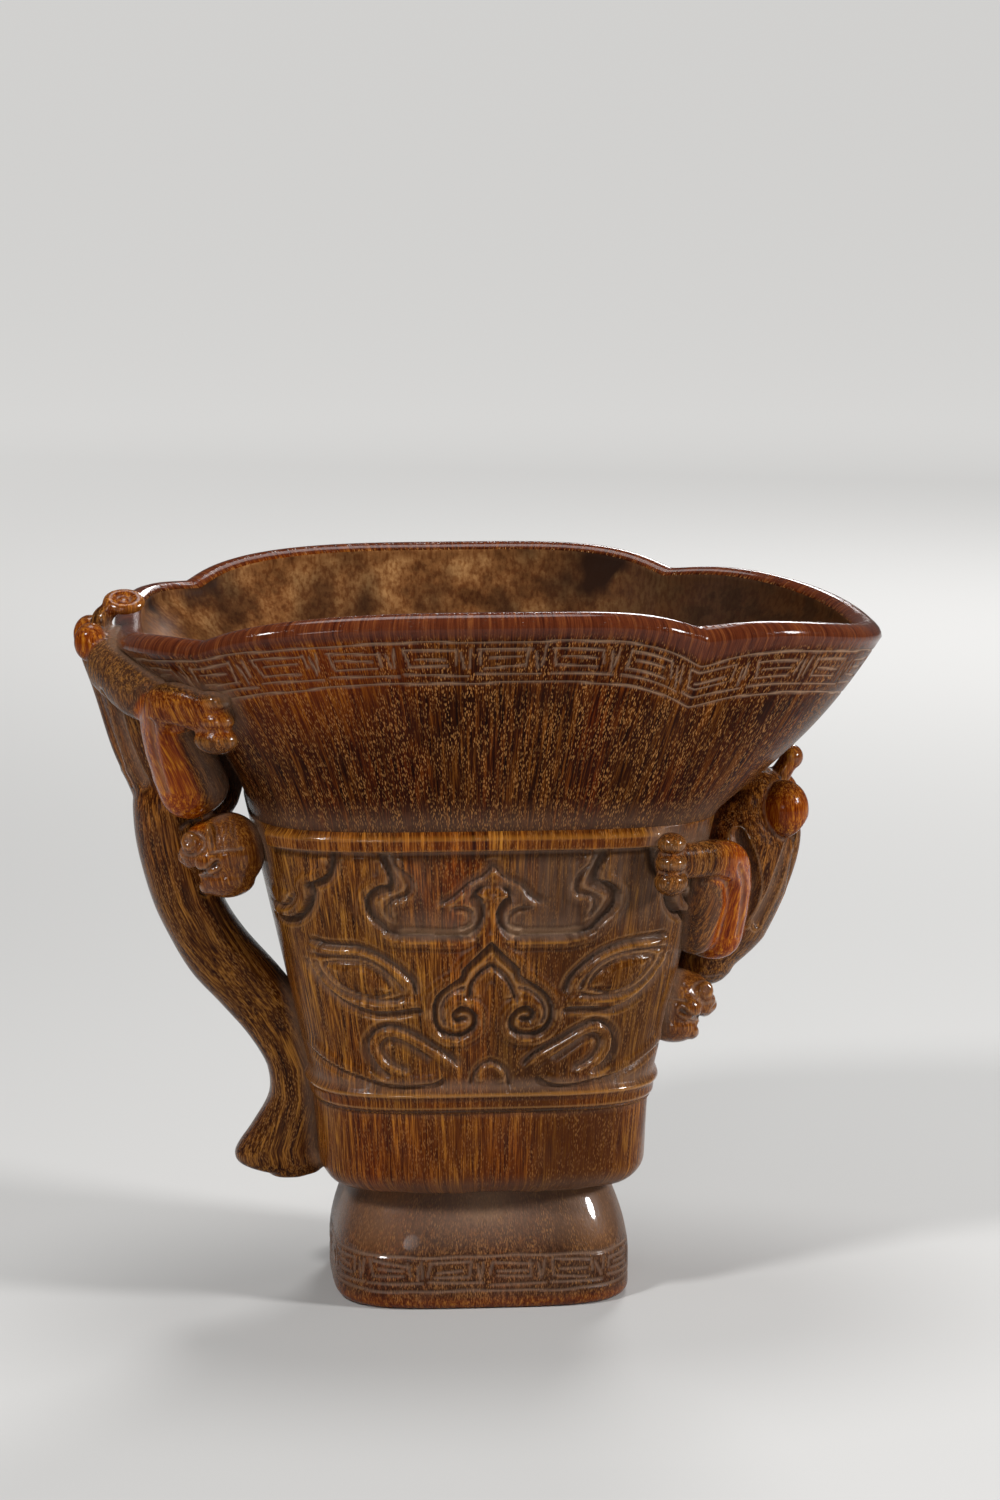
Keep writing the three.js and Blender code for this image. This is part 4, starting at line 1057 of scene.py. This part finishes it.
def head_strokes(skin, dragon):
    """Mouth, eyes, lips, cheeks, ears, nostrils and mane, through places seen from the head's middle."""
    axes = head_axes(dragon)
    size = dragon["head_size"]
    centre = at_dragon(dragon, FRONT, *dragon["head"])
    bite, eye_ring = dragon["bite"], dragon["eye_ring"]
    strokes = []

    def stroke(places, half_width, depth, dusty, side=1):
        hits = []
        for forward, left, up in places:
            start = centre + size * np.array((0.2 * forward, 0, 0)) @ axes
            hits.append(onto_skin(skin, start, np.array((0.8 * forward, side * left, up)) @ axes))
        strokes.append((curve_through(hits, 5), half_width, depth, dusty))

    eye_rim = [
        (0.60 + 0.34 * math.cos(t), 0.72 - 0.22 * math.cos(t), 0.31 + 0.34 * math.sin(t))
        for t in np.linspace(0.25 * math.pi, 1.75 * math.pi, 11)
    ]
    # The mouth's strokes carry no dust: their slits get painted shade.
    stroke([(0.62, -0.3, -0.40), (0.66, 0, -0.40), (0.62, 0.3, -0.40)], 0.8, bite, 0.0)
    for side in (-1, 1):
        stroke([(0.60, 0.72, 0.31), (0.58, 0.72, 0.28)], 1.15, 0.3 + eye_ring, 0.5, side)
        stroke(eye_rim, 0.5, eye_ring, 0.8, side)
        stroke([(0.62, 0.3, -0.40), (0.36, 0.62, -0.40), (-0.05, 0.88, -0.28)], 0.85, bite, 0.0, side)
        stroke([(0.50, 0.35, -0.58), (0.16, 0.75, -0.55)], 0.4, 0.4, 0.4, side)
        stroke([(0.06, 0.9, 0.00), (-0.3, 0.92, 0.03), (-0.7, 0.75, 0.03)], 0.42, 0.4, 0.9, side)
        if dragon["ears"]:
            stroke([(0.16, 0.8, 0.6), (0.16, 0.86, 0.3), (0.22, 0.85, 0.05)], 0.4, 0.4, 0.8, side)
        stroke([(0.92, 0.22, -0.02), (0.8, 0.36, -0.10)], 0.4, 0.45, 0.3, side)
        for lean in np.linspace(-0.6, 0.0, 6):
            hair = [(lean, 0.9, 0.12), (lean + 0.02, 0.8, 0.45), (lean + 0.12, 0.55, 0.8)]
            stroke(hair, 0.3, 0.22, 0.5, side)
    return strokes


def toe_slits(paw, wrist):
    reach = (paw - wrist) / np.linalg.norm(paw - wrist)
    outward = outward_at(paw)
    slits = []
    for i in (-0.5, 0.5):
        start = paw + np.array([0, 0, i * TOE_PITCH]) + 2.0 * outward
        slit = [start - 0.6 * reach, start + 1.6 * reach, start + 3.6 * reach - 0.6 * outward]
        slits.append((curve_through(slit), 0.4, 0.2, 1.0))
    return slits


def dragon_strokes(skin, dragon):
    strokes = head_strokes(skin, dragon)
    for side in (FRONT, BACK):
        if dragon["end"] == HANDLE:
            strokes += toe_slits(*limb_line(dragon, side, "arm")[:2])
        inner_edge = [on_flank(skin, dragon, side, d + 3.0, u) for d, u, _, _, _ in dragon["arm"][3:]]
        strokes.append((curve_through(inner_edge), 0.9, 0.55, 0.6))
        for panel in dragon["panel"]:
            hollow = [on_flank(skin, dragon, side, d, u) for d, u in panel]
            strokes.append((curve_through(hollow), 2.0, 1.5, 0.75))
        crest_edge = [on_flank(skin, dragon, side, 3.0, station[0]) for station in dragon["spine"]]
        strokes.append((curve_through(crest_edge), 0.8, 0.7, 0.8))
    return strokes


def on_flank(skin, dragon, side, degrees, up):
    """The point of a dragon's skin that is met from outside at an angle and a height."""
    inside = at_dragon(dragon, side, degrees, up, 0.0)
    away = np.array([inside[0], inside[1], 0.0])
    return onto_skin(skin, inside, away, reach=40.0)


def near_wall(points):
    """How far points stand off the cup's wall."""
    angle = np.arctan2(points[:, 1], points[:, 0])
    return np.hypot(points[:, 0], points[:, 1]) - wall_radius(angle, points[:, 2]) - 0.3


def on_head(dragon, points):
    """One on a dragon's head, falling to zero around it."""
    from_head = np.linalg.norm(points - at_dragon(dragon, FRONT, *dragon["head"]), axis=1)
    return smooth_step(1.5, 1.0, from_head / dragon["head_size"])


def limb_tones(dragon, points):
    """Amber on the outer straps, haunches and tail tip, and dust on the limbs' inner sides."""
    amber, dust = np.zeros(len(points)), np.zeros(len(points))
    standoff = near_wall(points)
    arm = dragon["arm"]
    share = np.linspace(0.0, 1.0, len(arm))
    for side in (FRONT, BACK):
        distance, _, place = distance_to(points, limb_line(dragon, side, "arm"))
        middle = np.interp(place, share, [off * dragon["reach"] for _, _, off, _, _ in arm])
        thick = np.interp(place, share, [thick for _, _, _, _, thick in arm])
        girth = np.interp(place, share, [max(broad, thick) for _, _, _, broad, thick in arm])
        outward = (standoff - middle) / thick
        on_limb = smooth_step(1.45, 1.15, distance / girth)
        up_the_arm = np.maximum(smooth_step(0.24, 0.46, place), dragon["paw_tone"])
        amber = np.maximum(amber, on_limb * smooth_step(-0.2, 0.2, outward) * up_the_arm)
        inner_side = smooth_step(-0.05, -0.5, outward) * smooth_step(0.4, 0.6, place)
        dust = np.maximum(dust, 0.6 * on_limb * inner_side)
        from_muscle, _, _ = distance_to(points, limb_line(dragon, side, "muscle"))
        dust = np.maximum(dust, 0.2 * smooth_step(6.5, 5.0, from_muscle) * (1.0 - amber))
        degrees, up, off, radius = dragon["haunch"]
        from_haunch = np.linalg.norm(points - at_dragon(dragon, side, degrees, up, off), axis=1)
        amber = np.maximum(amber, 0.85 * smooth_step(radius + 1.2, radius - 0.2, from_haunch))
    amber = np.maximum(amber, 0.30 * on_head(dragon, points))
    from_tip = np.linalg.norm(points - at_dragon(dragon, FRONT, 0, *dragon["tail"][-1]), axis=1)
    return np.maximum(amber, 0.5 * smooth_step(5.0, 3.0, from_tip)), dust


def dress(piece, dragon, carved, dark):
    points = points_of(piece)
    standoff = near_wall(points)
    seated = smooth_step(2.6, 0.3, standoff) * smooth_step(125.5, 123.5, points[:, 2])
    amber, inner_dust = limb_tones(dragon, points)
    paint(piece, "dust", np.maximum(np.maximum(carved, inner_dust), 0.75 * seated))
    # Painted shade in the mouth slits.
    paint(piece, "shade", 0.8 * dark)
    paint(piece, "amber", amber * (1.0 - 0.7 * seated))
    # Gloss and a painted gold highlight on the head.
    paint(piece, "polish", 0.28 * on_head(dragon, points))
    paint(piece, "lip", 0.0 * standoff)
    paint(piece, "hollow", 0.0 * standoff)
    run_fibres(piece, points - drift_of_fibres(dragon, points))


def drift_of_fibres(dragon, points):
    """How far the fibres wander sideways at each height, as they follow body, handle and thighs."""
    spine = [at_dragon(dragon, FRONT, 0, up, off) for up, off, _, _ in dragon["spine"]]
    if dragon["end"] == HANDLE:
        low = [
            around(HANDLE, FRONT, 0, level, (outer + inner) / 2)
            for level, outer, inner, _ in HANDLE_STATIONS
            if level < spine[0][2]
        ]
        spine = low + spine
    drift = np.zeros_like(points)
    drift[:, 0] = np.interp(points[:, 2], [p[2] for p in spine], [p[0] for p in spine])
    for side in (FRONT, BACK):
        thigh = limb_line(dragon, side, "arm")[:2:-1]
        distance, _, _ = distance_to(points, thigh)
        on_thigh = distance < 7.0
        for axis in (0, 1):
            drift[on_thigh, axis] = np.interp(points[on_thigh, 2], thigh[:, 2], thigh[:, axis])
    return drift


def make_dragon(name, extra_forms=()):
    dragon = DRAGONS[name]
    piece = fused(f"{name}_dragon", list(extra_forms) + dragon_forms(dragon), dragon["voxel"])
    carved, dark = carve(piece, dragon_strokes(skin_of(piece), dragon))
    dress(piece, dragon, carved, dark)
    return piece


# Finishes

class Finish:
    """A material under construction, with short ways to add its nodes."""

    def __init__(self, name):
        self.material = bpy.data.materials.new(name)
        self.material.use_nodes = True
        self.tree = self.material.node_tree
        self.tree.nodes.clear()

    def node(self, kind, links=None, **settings):
        node = self.tree.nodes.new(kind)
        for key, value in settings.items():
            setattr(node, key, value)
        for socket, source in (links or {}).items():
            if isinstance(source, bpy.types.NodeSocket):
                self.tree.links.new(source, node.inputs[socket])
            else:
                node.inputs[socket].default_value = source
        return node

    def math(self, operation, first, second):
        links = {0: first, 1: second}
        return self.node("ShaderNodeMath", links, operation=operation, use_clamp=True).outputs[0]

    def times(self, first, second):
        return self.math("MULTIPLY", first, second)

    def stretched(self, vector, share):
        """A pattern's coordinates, drawn out along the third one."""
        links = {"Vector": vector, "Scale": (1.0, 1.0, share)}
        return self.node("ShaderNodeMapping", links).outputs["Vector"]

    def noise(self, vector, scale, detail=2.0, roughness=0.55):
        links = {"Vector": vector, "Scale": scale, "Detail": detail, "Roughness": roughness}
        return self.node("ShaderNodeTexNoise", links).outputs["Fac"]

    def ramp(self, source, stops):
        node = self.node("ShaderNodeValToRGB", {"Fac": source})
        elements = node.color_ramp.elements
        while len(elements) < len(stops):
            elements.new(0.5)
        for element, (place, colour) in zip(elements, stops):
            element.position = place
            element.color = (*colour, 1.0)
        return node.outputs["Color"]

    def level(self, source, low, high):
        links = {"Value": source, "From Min": low, "From Max": high}
        return self.node("ShaderNodeMapRange", links, clamp=True).outputs["Result"]

    def mix(self, share, first, second, kind="MIX"):
        node = self.node("ShaderNodeMix", {"Factor": share}, data_type="RGBA", blend_type=kind)
        colours = [s for s in node.inputs if s.type == "RGBA"]
        for socket, value in zip(colours, (first, second)):
            if isinstance(value, bpy.types.NodeSocket):
                self.tree.links.new(value, socket)
            else:
                socket.default_value = (*value, 1.0)
        return next(s for s in node.outputs if s.type == "RGBA")

    def attribute(self, name):
        return self.node("ShaderNodeAttribute", attribute_name=name).outputs["Fac"]

    def bump(self, height, strength, distance):
        links = {"Height": height, "Strength": strength, "Distance": distance}
        return self.node("ShaderNodeBump", links).outputs["Normal"]

    def surface(self, sockets):
        shader = self.node("ShaderNodeBsdfPrincipled", sockets)
        self.node("ShaderNodeOutputMaterial", {"Surface": shader.outputs["BSDF"]})
        return self.material


# Tones that all the horn shares, by place in the fibre where there are several
AMBER_TONES = [(0.36, (0.080, 0.0070, 0.0004)), (0.50, (0.235, 0.040, 0.0019)), (0.66, (0.57, 0.205, 0.011))]
LIP_TONES = [(0.34, (0.030, 0.005, 0.002)), (0.52, (0.098, 0.021, 0.0065)), (0.70, (0.22, 0.068, 0.017))]
INSIDE_TONES = [(0.32, (0.070, 0.025, 0.0065)), (0.5, (0.17, 0.068, 0.020)), (0.68, (0.32, 0.160, 0.058))]
FLECK_TONE = (0.46, 0.205, 0.060)
# Dark of the painted shade in cuts and slits, and of the frieze's soot
SHADE_TONE = (0.010, 0.005, 0.003)
THIN_DUST = (0.195, 0.120, 0.083)
THICK_DUST = (0.36, 0.22, 0.13)
# Dark of the inside's stain runs, also used for its painted shade at the spout end
RUN_AND_SHADE_TONE = (0.016, 0.005, 0.0014)


def horn_finish(name, deep, mid, gold, red, roughness, gloss, dust_share, flecks, fibre_length=0.05):
    """Polished horn: fibres, stains, flecks, amber and lip tones, painted highlight on worn ridges, painted
    shade, soot and dust.
    """
    finish = Finish(name)
    place = finish.node("ShaderNodeTexCoord").outputs["Object"]
    grain_run = finish.node("ShaderNodeAttribute", attribute_name="grain").outputs["Vector"]
    drawn, dashes, slow = (finish.stretched(grain_run, share) for share in (fibre_length, 0.27, 0.35))
    layers = ("amber", "lip", "polish", "dust", "shade")
    amber, lip, polish, dust, shade = (finish.attribute(layer) for layer in layers)

    broad = finish.noise(drawn, 1500.0, 4.0, 0.65)
    fine = finish.noise(drawn, 4200.0, 2.0, 0.5)
    fibre = finish.math("ADD", finish.times(broad, 0.6), finish.times(fine, 0.4))
    grain = finish.ramp(fibre, [(0.38, deep), (0.50, mid), (0.63, gold)])
    reddened = finish.level(finish.noise(slow, 62.0, 4.0, 0.6), 0.42, 0.66)
    stained = finish.mix(reddened, grain, red, "MULTIPLY")
    darkened = finish.level(finish.noise(slow, 24.0, 2.0), 0.50, 0.74)
    darkest = finish.mix(darkened, stained, tuple(0.35 * part for part in mid))

    cells = {"Vector": dashes, "Scale": 4300.0, "Randomness": 1.0}
    ends = finish.node("ShaderNodeTexVoronoi", cells).outputs["Distance"]
    crowded = finish.level(finish.noise(dashes, 420.0, 3.0), 0.38, 0.56)
    pore = finish.times(finish.level(ends, 0.42, 0.24), crowded)
    flecked = finish.mix(finish.times(pore, flecks), darkest, FLECK_TONE)
    clear = finish.mix(amber, flecked, finish.ramp(fibre, AMBER_TONES))
    lipped = finish.mix(lip, clear, finish.ramp(fibre, LIP_TONES))
    plain = finish.level(amber, 1.0, 0.2)
    # Gold on ridges, heads and foot corners: lighter horn worn by handling, and a painted highlight.
    worn_and_highlit = finish.mix(finish.times(finish.times(polish, plain), 0.45), lipped, gold)
    # Painted shade from the shade layer, with the frieze's soot, darkens the colour towards SHADE_TONE.
    shaded = finish.mix(finish.times(shade, 0.9), worn_and_highlit, SHADE_TONE)

    cloud = finish.level(finish.noise(place, 420.0, 4.0, 0.7), 0.30, 0.62)
    veil = finish.times(finish.level(finish.noise(place, 90.0, 3.0), 0.45, 0.75), dust_share)
    settled = finish.times(dust, finish.level(cloud, -1.2, 0.5))
    gathered = finish.math("MAXIMUM", settled, finish.times(veil, plain))
    powder = finish.mix(finish.level(dust, 0.70, 1.0), THIN_DUST, THICK_DUST)
    dusty = finish.mix(finish.times(gathered, 0.8), shaded, powder)

    worn = finish.math("ADD", finish.times(gathered, 0.30), finish.level(fibre, -0.9, 1.9))
    smoothed = finish.times(finish.math("MAXIMUM", lip, amber), 0.16)
    rough = finish.math("SUBTRACT", finish.times(worn, 2.2 * roughness), smoothed)
    gleam = finish.math("MAXIMUM", finish.times(lip, 0.28), finish.times(amber, 0.12))
    grooves = finish.math("SUBTRACT", finish.times(fibre, 0.8), finish.times(pore, 0.5))
    relief = finish.times(grooves, finish.level(amber, 1.3, 0.1))
    return finish.surface({
        "Base Color": dusty,
        "Roughness": rough,
        "Specular IOR Level": gloss,
        "Coat Weight": finish.math("ADD", gleam, polish),
        "Coat Roughness": 0.07,
        "Normal": finish.bump(relief, 0.85, 0.00016),
    })


def inside_finish():
    """The cup's inside: duller, tan and mottled, with dark runs down the wall and painted shade at the spout
    end.
    """
    finish = Finish("horn_inside")
    place = finish.node("ShaderNodeTexCoord").outputs["Object"]
    blotches = finish.noise(place, 170.0, 5.0, 0.65)
    runs = finish.noise(finish.stretched(place, 0.45), 48.0, 3.0)
    fibre = finish.noise(finish.stretched(place, 0.08), 1500.0, 2.0)
    tan = finish.ramp(blotches, INSIDE_TONES)
    streaked = finish.mix(finish.level(fibre, 0.42, 0.62), tan, (0.62, 0.50, 0.40), "MULTIPLY")
    # Painted shade: the inside is darkened towards the spout end and mixed in with the dark runs.
    spout_side = finish.node("ShaderNodeSeparateXYZ", {"Vector": place}).outputs["X"]
    spout_end_shade = finish.times(finish.level(spout_side, 0.0, 0.045), finish.level(blotches, -0.1, 0.6))
    runs_and_shade = finish.math("MAXIMUM", finish.level(runs, 0.50, 0.66), finish.times(spout_end_shade, 0.95))
    return finish.surface({
        "Base Color": finish.mix(runs_and_shade, streaked, RUN_AND_SHADE_TONE),
        "Roughness": finish.level(blotches, -0.6, 1.3),
        "Specular IOR Level": 0.05,
        "Normal": finish.bump(blotches, 0.4, 0.0003),
    })


def floor_finish():
    """A pale floor that stays pale to the camera where the lamps no longer reach it."""
    finish = Finish("pale_floor")
    place = finish.node("ShaderNodeTexCoord").outputs["Object"]
    distance = finish.node("ShaderNodeVectorMath", {0: place}, operation="LENGTH").outputs["Value"]
    reach = {"Value": distance, "From Min": 0.3, "From Max": 1.6}
    far_off = finish.node("ShaderNodeMapRange", reach, interpolation_type="SMOOTHSTEP").outputs["Result"]
    seen = finish.node("ShaderNodeLightPath").outputs["Is Camera Ray"]
    return finish.surface({
        "Base Color": (0.52, 0.515, 0.505, 1.0),
        "Roughness": 0.8,
        "Emission Color": (1.0, 0.99, 0.97, 1.0),
        "Emission Strength": finish.times(far_off, finish.times(seen, 0.58)),
    })


def put_on(piece, *materials):
    piece.data.materials.clear()
    for material in materials:
        piece.data.materials.append(material)


def line_the_inside(bowl, slot):
    """Faces of the bowl's hollow take the inside finish."""
    hollow = painted(bowl, "hollow")
    for polygon in bowl.data.polygons:
        polygon.material_index = slot if min(hollow[v] for v in polygon.vertices) > 0.5 else 0


def gather_dust(wall, pieces, reach=3.2):
    """Dust lies on a wall where a carved piece stands close to it, but not on the lip."""
    tree_points = np.concatenate([points_of(p)[::4] for p in pieces])
    tree = KDTree(len(tree_points))
    for i, point in enumerate(tree_points):
        tree.insert(point, i)
    tree.balance()
    points = points_of(wall)
    dust = painted(wall, "dust")
    rim = np.maximum(painted(wall, "lip"), painted(wall, "hollow"))
    ends = np.flatnonzero((np.abs(points[:, 0]) > 20.0) & (rim < 0.5))
    for i in ends:
        _, _, distance = tree.find(points[i])
        if distance < reach:
            dust[i] = max(dust[i], 0.9 * (1.0 - distance / reach))
    paint(wall, "dust", dust)


# Build

bowl = make_bowl()
frieze = make_frieze()
belt = make_belt()
foot = make_foot()
handle_dragon = make_dragon("handle", [handle_form()])
spout_dragon = make_dragon("spout")
for wall in (bowl, frieze):
    gather_dust(wall, (handle_dragon, spout_dragon))
for piece in (frieze, belt, handle_dragon, spout_dragon):
    handle_and_settle(piece)

wall_horn = horn_finish(
    "horn_wall",
    (0.003, 0.0005, 0.0002), (0.034, 0.0066, 0.0008), (0.18, 0.055, 0.006), (0.80, 0.34, 0.20),
    roughness=0.18, gloss=0.04, dust_share=0.03, flecks=0.85,
)
frieze_horn = horn_finish(
    "horn_frieze",
    (0.013, 0.0030, 0.0006), (0.107, 0.0320, 0.0047), (0.42, 0.175, 0.023), (0.78, 0.44, 0.30),
    roughness=0.17, gloss=0.08, dust_share=0.06, flecks=0.35,
)
dragon_horn = horn_finish(
    "horn_dragons",
    (0.012, 0.0030, 0.0008), (0.068, 0.0200, 0.0036), (0.31, 0.127, 0.021), (0.74, 0.42, 0.30),
    roughness=0.19, gloss=0.07, dust_share=0.10, flecks=0.45,
)
foot_horn = horn_finish(
    "horn_foot",
    (0.016, 0.0052, 0.0025), (0.068, 0.0240, 0.0090), (0.26, 0.108, 0.034), (0.76, 0.52, 0.44),
    roughness=0.24, gloss=0.11, dust_share=0.24, flecks=0.5, fibre_length=0.4,
)
inside_horn = inside_finish()

put_on(bowl, wall_horn, inside_horn)
line_the_inside(bowl, 1)
put_on(frieze, frieze_horn)
put_on(belt, frieze_horn)
put_on(foot, foot_horn)
put_on(handle_dragon, dragon_horn)
put_on(spout_dragon, dragon_horn)

MASK_NODES = [
    f"{face}_mask_{part}"
    for face in ("front", "back")
    for part in ("nose", "brow", "right_horn", "left_horn", "right_eye", "left_eye", "right_jaw", "left_jaw")
]
DRAGON_PARTS = ("body", "tail", "front_arm", "back_arm", "head")
for piece, slot, nodes in (
    (bowl, "horn", ["vessel"]),
    (frieze, "horn", ["lower_fillet", "front_upper_fillet", "back_upper_fillet", *MASK_NODES]),
    (belt, "horn", []),
    (foot, "dark_horn", ["foot"]),
    (handle_dragon, "horn", ["handle", *(f"handle_dragon_{part}" for part in DRAGON_PARTS)]),
    (spout_dragon, "horn", [f"spout_dragon_{part}" for part in DRAGON_PARTS]),
):
    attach(piece, "root")
    if nodes:
        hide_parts(*nodes)


# Floor, light and camera

def make_floor():
    deselect()
    bpy.ops.mesh.primitive_plane_add(size=30.0)
    floor = bpy.context.object
    floor.name = "floor"
    put_on(floor, floor_finish())


def soft_light(name, place, aim, size, power):
    deselect()
    bpy.ops.object.light_add(type="AREA", location=place)
    lamp = bpy.context.object
    lamp.name = name
    lamp.data.shape = "DISK"
    lamp.data.size = size
    lamp.data.energy = power
    lamp.rotation_euler = (Vector(aim) - Vector(place)).to_track_quat("-Z", "Y").to_euler()


def light_room():
    world = bpy.data.worlds.new("studio")
    world.use_nodes = True
    backdrop = world.node_tree.nodes["Background"]
    backdrop.inputs["Color"].default_value = (0.86, 0.87, 0.88, 1.0)
    backdrop.inputs["Strength"].default_value = 0.12
    bpy.context.scene.world = world
    soft_light("key_light", (-0.55, -0.55, 0.75), (0, 0, 0.08), 0.16, 6.0)
    soft_light("side_light", (0.8, -0.35, 0.45), (0, 0, 0.08), 0.18, 7.2)
    soft_light("front_light", (-0.25, -1.15, 0.30), (0, 0, 0.05), 0.22, 1.2)
    soft_light("back_light", (0.30, 0.95, 0.60), (0, 0, 0.08), 0.30, 5.0)
    soft_light("top_light", (0.0, 0.15, 0.9), (0, 0, 0.1), 0.40, 3.0)


CAMERA_PLACE = (-0.08042, -0.96726, 0.25987)
LOOK_DOWN = 9.4
TURN_RIGHT = 5.0
LENS = 128.83


def set_camera():
    deselect()
    bpy.ops.object.camera_add(location=CAMERA_PLACE)
    camera = bpy.context.object
    camera.rotation_euler = (math.radians(90.0 - LOOK_DOWN), 0.0, math.radians(-TURN_RIGHT))
    camera.data.lens = LENS
    camera.data.sensor_width = 36.0
    camera.data.clip_start = 0.05
    camera.data.clip_end = 30.0
    bpy.context.scene.camera = camera


make_floor()
light_room()
set_camera()
bpy.context.scene.view_settings.view_transform = "Standard"
